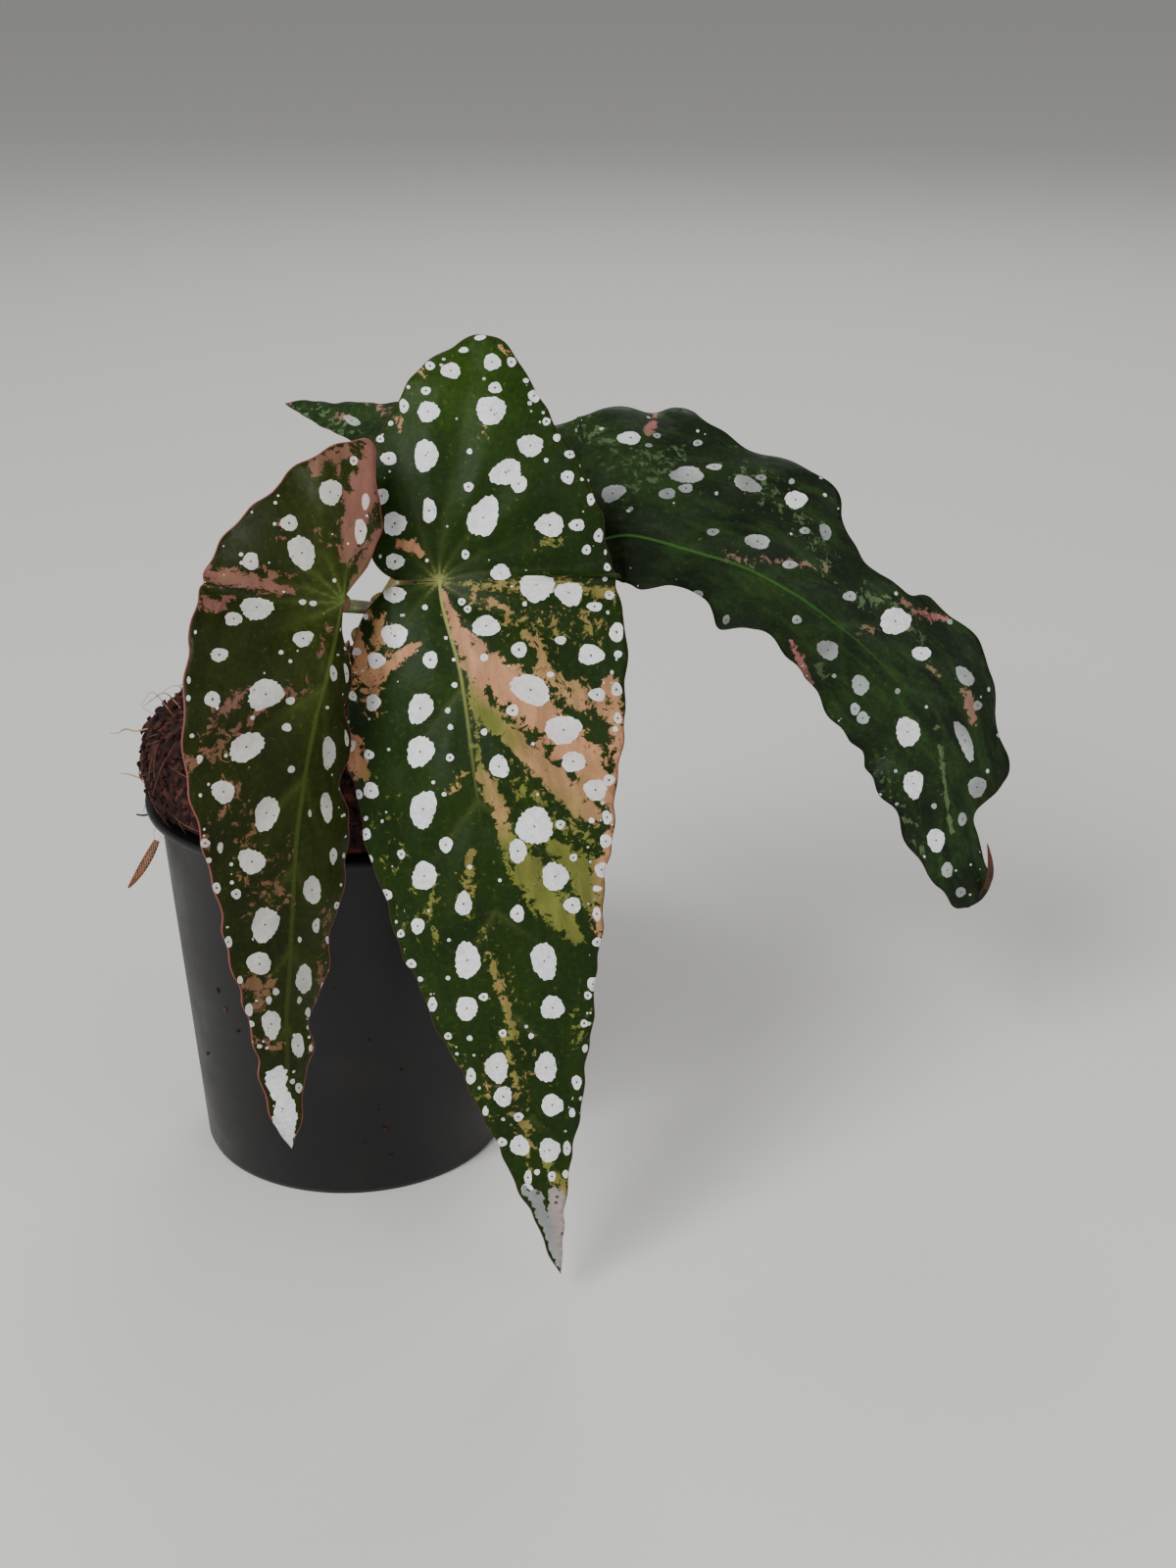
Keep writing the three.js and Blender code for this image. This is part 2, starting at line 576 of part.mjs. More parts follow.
function cane() {
  const points = CANE_PATH.map((p) => new THREE.Vector3(...p));
  return stem(points, CANE.sides, CANE.steps, caneRadius);
}

// A point of the cane's middle line at a height, its direction, and the cane's radius there.
function caneAtHeight(height) {
  const curve = new THREE.CatmullRomCurve3(CANE_PATH.map((p) => new THREE.Vector3(...p)));
  const samples = Array.from({ length: 200 }, (_, i) => i / 199);
  const away = (t) => Math.abs(curve.getPointAt(t).z - height);
  const t = samples.reduce((best, s) => (away(s) < away(best) ? s : best), 0);
  const centre = curve.getPointAt(t);
  return { centre, along: curve.getTangentAt(t), radius: caneRadius(t, centre) };
}

function petiole(leaf) {
  const { point, normal } = bladeAt(leaf, 0, 0);
  const { lift, thickness } = reliefAt(leaf, 0, 0);
  const bend = leaf.petiole.bend.map((p) => new THREE.Vector3(...p));
  const { centre, along, radius } = caneAtHeight(leaf.petiole.node);
  const outward = bend[0].clone().sub(centre);
  outward.addScaledVector(along, -outward.dot(along)).normalize();
  const start = centre.clone().addScaledVector(outward, radius + CLEARANCE);
  const afterStart = start.clone().addScaledVector(outward, PETIOLE.straightStart);
  const end = point.clone().addScaledVector(normal, lift - thickness - CLEARANCE);
  const beforeEnd = end.clone().addScaledVector(normal, -PETIOLE.straightEnd);
  const flare = (t) => PETIOLE.radius + PETIOLE.flare * (bell(t, 0.08) + bell(1 - t, 0.05));
  return stem([start, afterStart, ...bend, beforeEnd, end], PETIOLE.sides, PETIOLE.steps, flare);
}

// ---------------------------------------------------------------- the plant
const plant = new THREE.Group();

function addPiece(name, geometry, finish) {
  const mesh = new THREE.Mesh(geometry, finish);
  mesh.name = name;
  plant.add(mesh);
}

addPiece("pot", potBody(), BLACK_PLASTIC);
addPiece("growing_mix", growingMix(), BARK_AND_COIR);
addPiece("cane", cane(), CANE_GREEN);
for (const [name, leaf] of Object.entries(LEAVES)) {
  prepareLeaf(leaf);
  addPiece(`leaf_${name}`, leafBlade(leaf), material(LEAF_COLOURS[name], 0.5));
  addPiece(`petiole_${name}`, petiole(leaf), PETIOLE_GREEN);
}

export default plant;
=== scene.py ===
"""Potted polka dot begonia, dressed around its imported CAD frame. Lengths in the tables are millimetres."""

import math
import random

import bmesh
import bpy
import numpy as np
from bpy.props import FloatProperty, FloatVectorProperty, PointerProperty
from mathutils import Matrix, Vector, geometry, noise


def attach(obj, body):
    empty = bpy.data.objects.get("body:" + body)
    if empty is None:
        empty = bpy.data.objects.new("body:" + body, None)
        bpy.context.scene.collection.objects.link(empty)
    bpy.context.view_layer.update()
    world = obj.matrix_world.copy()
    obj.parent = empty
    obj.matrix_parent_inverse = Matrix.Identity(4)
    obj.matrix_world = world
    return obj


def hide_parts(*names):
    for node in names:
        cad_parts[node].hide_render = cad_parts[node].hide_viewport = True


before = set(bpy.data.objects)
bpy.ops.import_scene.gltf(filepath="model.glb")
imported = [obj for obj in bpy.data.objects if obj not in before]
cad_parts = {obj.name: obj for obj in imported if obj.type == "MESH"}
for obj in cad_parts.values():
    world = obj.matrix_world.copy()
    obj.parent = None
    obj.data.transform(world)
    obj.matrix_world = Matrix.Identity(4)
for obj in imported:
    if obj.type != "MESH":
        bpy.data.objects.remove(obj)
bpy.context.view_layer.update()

bl_info = {
    "name": "Potted Polka Dot Begonia",
    "version": (1, 0, 0),
    "blender": (4, 5, 0),
    "location": "View3D > Sidebar > Begonia",
    "description": "Builds a spotted, variegated cane begonia in its nursery pot, piece by piece",
    "category": "Object",
}

MM = 0.001

# ------------------------------------------------------------------ the view that the plant was seen in
# Pictures are 1200 x 1600, and places given as (x, y) below are points of that picture.
EYE = np.array([61.9, -508.5, 305.6])
PITCH = math.radians(22.4)
LENS = 50.0
SENSOR_HEIGHT = 36.0
PICTURE = (1200, 1600)
FOCAL = LENS / SENSOR_HEIGHT * PICTURE[1]
AHEAD = np.array([0, math.cos(PITCH), -math.sin(PITCH)])
UPWARD = np.array([0, math.sin(PITCH), math.cos(PITCH)])


def in_picture(points):
    """Points in millimetres, as places in the picture."""
    away = np.asarray(points, float) - EYE
    depth = away @ AHEAD
    return np.stack([PICTURE[0] / 2 + FOCAL * away[..., 0] / depth,
                     PICTURE[1] / 2 - FOCAL * (away @ UPWARD) / depth], -1)


def seen_at(x, y, ahead):
    """The point behind a place in the picture, so far ahead of the eye in y."""
    ray = AHEAD + np.array([1, 0, 0]) * (x - PICTURE[0] / 2) / FOCAL - UPWARD * (y - PICTURE[1] / 2) / FOCAL
    return EYE + ray * (ahead - EYE[1]) / ray[1]


# ------------------------------------------------------------------ forms shared with the CAD solids
POT_FORM = {"height": 96, "base": 39.5, "wall_top": 45.8, "lip": 49.2, "lip_height": 2, "wall": 1.4,
            "floor": 1.8}
MIX_PROFILE = [(44.0, 94.5), (44.3, 96.6), (48.2, 98), (50.0, 102), (50.0, 107.5), (48.6, 112), (45.0, 116.5),
               (37, 119.5), (27, 121), (17, 121.5), (8, 122), (0.5, 122)]
CANE_PATH = [(4, 2, 101), (4, 2, 110), (4, 2, 118), (4.2, 1.9, 124), (7.5, -0.5, 132), (12, -2, 142),
             (18, 0, 152), (24, 4, 162), (27.5, 6.5, 172), (29.5, 8, 181)]
CANE_NODES = [126, 133, 142, 152, 162]

# u runs along the midrib from the stalk to the tip, v across it. A spine row holds a point of the midrib,
# the direction across the blade, the fold of its -v and +v halves in degrees, and their arch per mm.
LEAVES = {
    "front": {
        "broad": 1, "stalk_row": 3, "node": 133, "bend": [(15, -18, 145), (24, -34, 157)],
        "spine": [
            (37, -20, 215, 1, 0.1, 0, 0, 0, -0.4, -0.4), (35, -32, 200.5, 1, 0.06, 0, 0, 0, -0.5, -0.5),
            (32, -42, 183, 1, 0.03, 0, 0, 0, -0.8, -0.6), (29, -47, 164, 1, 0, 0, 0, 0, -1, -0.5),
            (34, -58, 145.5, 1, 0, 0, -4, 0, -0.9, -0.5), (37, -67, 126, 1, 0, 0, -6, -2, -0.9, -0.5),
            (40, -74, 104.5, 1, 0.02, 0, -6, -3, -0.7, -0.6), (45, -79, 79, 1, 0.04, 0, -4, -3, -0.6, -0.7),
            (49, -82, 48, 1, 0.06, 0, -4, -3, -0.6, -0.8), (55.5, -83, 7.5, 1, 0.08, 0, -4, -3, 0, 0)],
        "to_tip": [
            (-0.5, -10), (-2, -13), (-5.5, -16.5), (-12, -18.5), (-22, -20), (-31, -18), (-40, -14.5),
            (-48, -10.5), (-54, -4.5), (-57, 1.5), (-54.5, 8), (-47, 14), (-39, 19.5), (-33, 26), (-25, 31),
            (-14, 37.5), (-4, 40.5), (8, 40), (20, 38), (35, 35), (52, 31), (68, 27.5), (84, 22.5),
            (101, 17.5), (118, 13.5), (134, 8.5), (148, 4), (158, 2), (165.8, 0)],
        "from_tip": [
            (165.8, 0), (160, -2), (149, -4), (136, -7.5), (122, -11), (106, -16.5), (90, -21), (74, -24),
            (58, -27), (42, -29.5), (26, -28.5), (14, -26), (6.5, -21), (2.5, -15.5), (0.5, -10)],
        "slant": {1: (50, 30), -1: (50, 30)}, "palmate": {1: 25, -1: 4},
        "wave": 0.9, "wave_length": 22, "scallop": 0.22, "scallop_length": 9,
    },
    "left": {
        "broad": -1, "stalk_row": 2, "node": 142, "bend": [(11, -18, 148), (10, -38, 155)],
        "spine": [
            (9.5, -47, 197.5, 0.98, 0.2, 0, 0, 0, -0.5, -0.5),
            (10, -56, 182.5, 0.97, 0.25, 0, 0, 0, -0.5, -0.6),
            (10, -63, 164.5, 0.95, 0.31, 0, 0, -25, -0.4, -0.4),
            (6.5, -72, 150.5, 0.91, 0.41, 0, 2, -38, -0.3, -0.4),
            (3, -77, 137, 0.89, 0.46, 0, 4, -30, -0.3, -0.4),
            (-0.5, -80, 117.5, 0.89, 0.46, 0, 4, -22, -0.3, -0.4),
            (-3, -81, 92.5, 0.9, 0.43, 0, 2, -20, -0.3, -0.4),
            (-5.5, -80, 67.5, 0.92, 0.39, 0, 0, -18, -0.3, -0.4), (-6, -78, 37, 0.95, 0.3, 0, 0, -10, 0, 0)],
        "to_tip": [
            (-4, 3), (-10, 6.2), (-15, 8), (-21, 8), (-25, 6.3), (-32, 7), (-35.3, 5), (-34.5, 0),
            (-31.5, -5), (-29.5, -10), (-25, -14), (-21, -17.5), (-18, -22), (-12.5, -27), (-4, -30),
            (8, -30.5), (20, -30), (33, -28.5), (44, -25), (54, -21), (66, -17), (80, -14), (92, -10),
            (104, -7.2), (116, -5.7), (126, -3.3), (132.7, 0)],
        "from_tip": [
            (132.7, 0), (124, 2.5), (116, 4.5), (108, 6.5), (101, 6.5), (95, 9), (86, 11), (76, 13),
            (68, 14.5), (60, 17), (52, 15.5), (43, 13.5), (34, 14), (26, 12.5), (19, 10), (13, 6.5), (8, 3.5),
            (4, 1.8)],
        "slant": {1: (50, 30), -1: (24, 30)}, "palmate": {1: 19, -1: 1},
        "wave": 0.9, "wave_length": 19, "scallop": 0.32, "scallop_length": 10,
    },
    "right": {
        "broad": 1, "stalk_row": 2, "node": 152, "bend": [(36, 8, 147), (50, 11, 150)],
        "spine": [
            (34.5, -14, 176, 0, 0.62, 0.78, -5, 0, -0.5, -0.5),
            (47.5, -6, 166.5, 0, 0.62, 0.78, -8, 0, -0.5, -0.5),
            (59.5, 0, 160, 0, 0.62, 0.78, -16, 0, -0.5, -0.5),
            (71.5, 0, 161, 0, 0.62, 0.78, -30, 0, -0.5, -0.4),
            (83.5, 2, 157.5, 0, 0.62, 0.78, -40, 0, -0.5, -0.4),
            (102.5, 4, 150.5, 0.25, 0.59, 0.76, -45, 0, -0.4, -0.4),
            (122.5, 5, 137.5, 0.5, 0.5, 0.7, -45, 0, -0.4, -0.4),
            (140, 5, 121, 0.72, 0.46, 0.52, -40, 0, -0.4, -0.4),
            (150.5, 4, 104.5, 0.86, 0.41, 0.3, -30, 0, -0.4, -0.4),
            (154.5, 2, 83, 0.93, 0.35, 0.1, -20, 0, -0.4, -0.4), (161, 0, 61, 0.95, 0.3, 0, -10, 0, 0, 0)],
        "to_tip": [
            (-0.5, -6), (-3, -11), (-9, -15.5), (-18, -18), (-28, -15), (-36, -8), (-40, 2), (-38, 13),
            (-31, 22), (-22, 28.5), (-14, 32), (-7, 32.5), (0, 33), (8, 36), (16, 38), (22, 40.5), (29, 36),
            (38, 34), (47, 33.5), (56, 29.5), (64, 21.5), (73, 17), (80, 18.5), (86, 23), (96, 24), (106, 22),
            (116, 19.5), (124, 18.5), (130, 11), (137, 8), (146, 7), (153, 6), (156.6, 3.6), (157.6, 0)],
        "from_tip": [
            (157.6, 0), (156.6, -3.4), (152, -5.6), (146, -7.5), (138, -11), (130, -13), (121, -17.5),
            (108, -19.5), (95, -19.5), (83, -20), (74, -17), (64, -14), (54, -15), (47, -18), (41, -14.5),
            (33, -10.5), (24, -11.5), (14, -12), (6, -10), (0.5, -6)],
        "slant": {1: (50, 30), -1: (50, 30)}, "palmate": {1: 22, -1: 3},
        "wave": 1.9, "wave_length": 27, "scallop": 0.5, "scallop_length": 12,
    },
    "back": {
        "broad": 1, "stalk_row": 1, "node": 162, "bend": [(30, 15, 161), (36, 26, 166)],
        "spine": [
            (52.5, 12, 176.5, -0.16, -0.79, -0.59, 0, 0, -0.5, -0.5),
            (37.5, 26, 176.5, -0.16, -0.79, -0.59, 0, 0, -0.5, -0.5),
            (19, 45, 176.5, -0.16, -0.79, -0.59, 0, 0, -0.5, -0.5),
            (-0.5, 63, 176, -0.16, -0.79, -0.59, 0, 0, -0.5, -0.5),
            (-21, 80, 175.5, -0.16, -0.79, -0.59, 0, 0, 0, 0)],
        "to_tip": [
            (-0.5, -5), (-3, -8), (-8, -9.5), (-13, -7.5), (-16, -3), (-16.5, 3), (-14.5, 9), (-10, 14),
            (-4, 17), (6, 18), (17, 17), (28, 14), (38, 11), (47, 8), (56, 6.2), (66, 4), (74, 1.8),
            (79.6, 0)],
        "from_tip": [
            (79.6, 0), (76, -1.2), (68, -2.3), (58, -3.5), (46, -5.5), (34, -8), (22, -10), (12, -10),
            (5, -8), (0.5, -5)],
        "slant": {1: (50, 30), -1: (50, 30)}, "palmate": {1: 13, -1: 3},
        "wave": 0.35, "wave_length": 17, "scallop": 0.12, "scallop_length": 8,
    },
}
JAG = 0.07  # unevenness of a spot's edge, as a share of its size
STATIONS = 20  # places along the midrib where a side vein may start
RIB_EVERY = 3  # every third of them has one

# Silver spots, as seen: (x, y, half width[, half height[, tilt in degrees]]).
SPOTS = {
    "front": [
        (490, 345.5, 6, 2.6), (473, 356, 5, 3), (460, 379, 10, 9), (502, 371, 9, 8), (522, 369, 5),
        (439, 374, 5), (435, 400, 5, 4), (417, 396, 2), (412, 414, 5, 7), (437, 421, 11), (505, 397, 7, 6),
        (501, 420, 15), (545, 404, 6, 7), (537, 387, 3), (398, 431, 3), (388, 448, 4), (397, 468, 8, 7),
        (435, 466, 12, 16), (479, 461, 3), (541, 455, 13, 11), (557, 431, 4), (568, 447, 4), (582, 463, 6, 4),
        (557, 470, 2.5), (516, 482, 17, 12, 25), (529, 494, 8.5, 9), (579, 487, 7), (594, 489, 2),
        (478, 497, 5), (493, 528, 15, 21, -28), (438, 521, 7, 13), (389, 506, 8), (403, 534, 12),
        (561, 536, 14, 12), (588, 536, 8, 6), (602, 510, 4, 6), (611, 547, 5, 7), (403, 573, 9, 8),
        (435, 572, 2), (475, 566, 4, 5), (598, 561, 5), (619, 564, 1.6, 3), (620, 579, 3.6, 4),
        (618, 590, 3, 2.4), (511, 585, 10, 8), (547, 597, 18, 14), (580, 605, 14, 13), (622, 607, 5),
        (403, 607, 11, 8), (471, 613, 4), (433, 619, 3), (477, 621, 4), (496, 640, 14, 11), (606, 620, 8, 5),
        (535, 617, 2.5), (403, 649, 13, 12), (372, 629, 3), (364, 665, 5, 4), (384, 674, 9, 8),
        (440, 674, 7, 9), (455, 651, 2), (463, 673, 2), (529, 664, 8), (494, 672, 4), (572, 653, 6, 4),
        (603, 669, 13, 9), (628, 646, 7, 10), (630, 668, 4), (561, 689, 4, 3), (464, 699, 3),
        (541, 705, 21, 14, -28), (609, 709, 9, 7), (630, 703, 6, 7), (382, 717, 8, 9), (360, 711, 4, 5),
        (430, 723, 11.5, 16, -25), (457, 725, 3), (460, 742, 3), (523, 725, 6), (574, 745, 18, 14),
        (630, 733, 4, 6), (627, 744, 3), (494, 747, 3.5), (429, 767, 13.5, 16.5, -25), (360, 761, 5, 6),
        (378, 770, 5), (460, 773, 4), (544, 759, 2), (509, 782, 9.5, 11.5, 20), (585, 777, 12, 11),
        (622, 796, 6), (608, 806, 12, 11), (378, 807, 8), (364, 811, 5), (434, 825, 13, 19, -12),
        (455, 810, 2.5), (444, 798, 2), (373, 835, 2.5), (545, 843, 18, 19), (571, 841, 5), (619, 834, 5, 7),
        (603, 837, 3), (617, 858, 6, 7), (375, 851, 5, 6), (455, 862, 7, 8), (411, 871, 4, 5),
        (528, 868, 9, 12), (585, 875, 4), (566, 894, 14), (615, 888, 7, 8), (433, 894, 12.5, 15, -15),
        (379, 876, 3, 4), (480, 884, 2.5), (610, 907, 5, 3), (510, 898, 2), (393, 914, 6), (474, 921, 8, 12),
        (583, 923, 9, 8), (528, 932, 7, 9), (608, 932, 4, 7), (427, 944, 7, 8), (410, 952, 4), (609, 961, 5),
        (459, 958, 2), (477, 980, 13, 19), (555, 980, 13, 19, 14), (420, 983, 5), (428, 1000, 3),
        (457, 998, 2.5), (606, 1005, 6, 7), (600, 1016, 4), (494, 1016, 5, 4), (477, 1028, 11, 12),
        (563, 1027, 12), (441, 1025, 5, 7), (513, 1054, 4), (542, 1057, 3), (595, 1043, 4), (458, 1056, 4),
        (480, 1058, 3), (597, 1070, 3, 5), (466, 1076, 2), (507, 1089, 12, 15), (557, 1089, 11, 15),
        (480, 1099, 5, 8), (589, 1105, 5, 7), (514, 1117, 9, 10), (563, 1127, 11), (496, 1132, 3, 5),
        (529, 1139, 5), (583, 1134, 3, 5), (512, 1167, 5), (530, 1170, 10), (561, 1174, 11, 12),
        (579, 1173, 4, 8), (548, 1195, 3), (563, 1200, 4, 5), (577, 1198, 3, 4), (539, 1200, 4, 7),
        (538, 1212, 6)],
    "left": [
        (337, 503, 11.5, 13), (361, 470, 4, 5), (373, 512, 4, 8), (368, 542, 6, 13), (295, 534, 9, 8),
        (308, 564, 13, 18, 24), (256, 573, 8, 9), (262, 620, 17, 12), (238, 632, 9, 7), (309, 614, 4, 3),
        (320, 615, 4, 3), (309, 652, 11, 8, 24), (224, 668, 9, 7), (270, 708, 19, 15, 22), (216, 713, 8),
        (296, 715, 5, 4), (339, 687, 3, 8), (351, 687, 2, 10), (334, 722, 2), (292, 742, 5, 4),
        (251, 762, 19, 13, 32), (335, 768, 6, 17), (351, 753, 2, 8), (195, 750, 2.5), (204, 774, 3, 4),
        (193, 694, 2, 4), (296, 784, 4), (286, 666, 2.5), (295, 675, 2), (257, 732, 2.5), (227, 807, 11),
        (272, 830, 12, 18, -18), (333, 823, 6, 15), (316, 830, 2, 4), (256, 878, 13, 12), (209, 860, 5),
        (225, 865, 3, 6), (214, 879, 3), (341, 873, 4, 8), (353, 874, 2, 3), (318, 908, 8, 14),
        (221, 906, 4, 5), (240, 911, 5), (342, 923, 3, 4), (270, 943, 13, 18, -18), (324, 945, 4, 8),
        (306, 959, 2, 3), (234, 963, 4, 6), (336, 960, 2, 4), (264, 982, 12, 11), (310, 999, 8, 15),
        (244, 998, 3, 4), (328, 1005, 1.5, 4), (281, 1011, 3.5, 4), (274, 1020, 3, 4.5), (306, 1021, 2.5, 4),
        (255, 1032, 4, 7), (277, 1045, 9.5, 14), (316, 1034, 3, 5), (303, 1066, 6, 12), (315, 1068, 2, 4),
        (257, 1046, 3), (264, 1066, 3, 2), (299, 1104, 3), (306, 1111, 4, 5)],
    "right": [
        (643, 449, 10, 7), (670, 445, 4, 3), (661, 456, 4, 2), (711, 453, 5, 3), (625, 503, 13, 8, 24),
        (700, 487, 18, 9), (727, 479, 8, 3.5), (679, 506, 8, 5.5), (698, 501, 8, 4.5), (761, 495, 15, 7, -16),
        (776, 488, 6, 3), (807, 492, 3), (811, 511, 11, 9.5), (727, 543, 6, 4), (771, 554, 13, 7, -12),
        (819, 543, 6, 3.5), (806, 576, 8, 4), (713, 607, 5, 3), (741, 630, 4, 5.5), (813, 631, 5, 4.5),
        (643, 521, 2.5), (730, 505, 2), (865, 609, 7, 5), (842, 543, 6, 9, 24), (913, 634, 15, 13),
        (845, 662, 12, 9, -42), (938, 667, 10, 7), (982, 690, 12, 7, -50), (878, 698, 9, 10), (916, 705, 3),
        (873, 722, 5, 6), (881, 731, 6, 7), (926, 747, 12, 15), (983, 755, 7, 22, 20), (998, 720, 5),
        (932, 799, 10, 15), (996, 803, 8, 11), (955, 857, 9, 12), (966, 887, 6, 8), (981, 911, 5.5),
        (983, 836, 5, 7), (953, 822, 3), (971, 634, 3), (914, 786, 2), (915, 821, 2), (1023, 751, 2.5),
        (1029, 787, 2), (851, 690, 2.5)],
    "back": [(359, 429, 9, 4, -22), (400, 440, 2)],
}
# The right leaf's few bright spots; the rest of its spots are dull.
BRIGHT_SPOTS = {(913, 634), (926, 747), (811, 511), (938, 667), (643, 449), (955, 857), (932, 799)}
# Silver tips, as closed outlines in the picture.
SILVER_TIPS = {
    "front": [
        (532, 1208), (536, 1206), (541, 1212), (549, 1213), (554, 1220), (556, 1229), (558, 1239),
        (560.5, 1229), (559, 1220), (559.5, 1211), (567, 1210), (574, 1214), (576.5, 1220), (575.5, 1237),
        (576, 1262), (575.5, 1284), (574, 1297), (567, 1286), (562, 1277), (558.5, 1267), (555, 1260),
        (552, 1252), (548, 1246), (544, 1239), (546.5, 1235), (542, 1230), (540.5, 1223), (539, 1219),
        (533, 1218)],
    "left": [
        (271, 1095), (287, 1086), (292, 1092), (293, 1112), (299, 1123), (303, 1137), (300, 1149),
        (299, 1174), (293, 1175), (281, 1156), (277, 1141), (282, 1127), (272, 1108)],
}
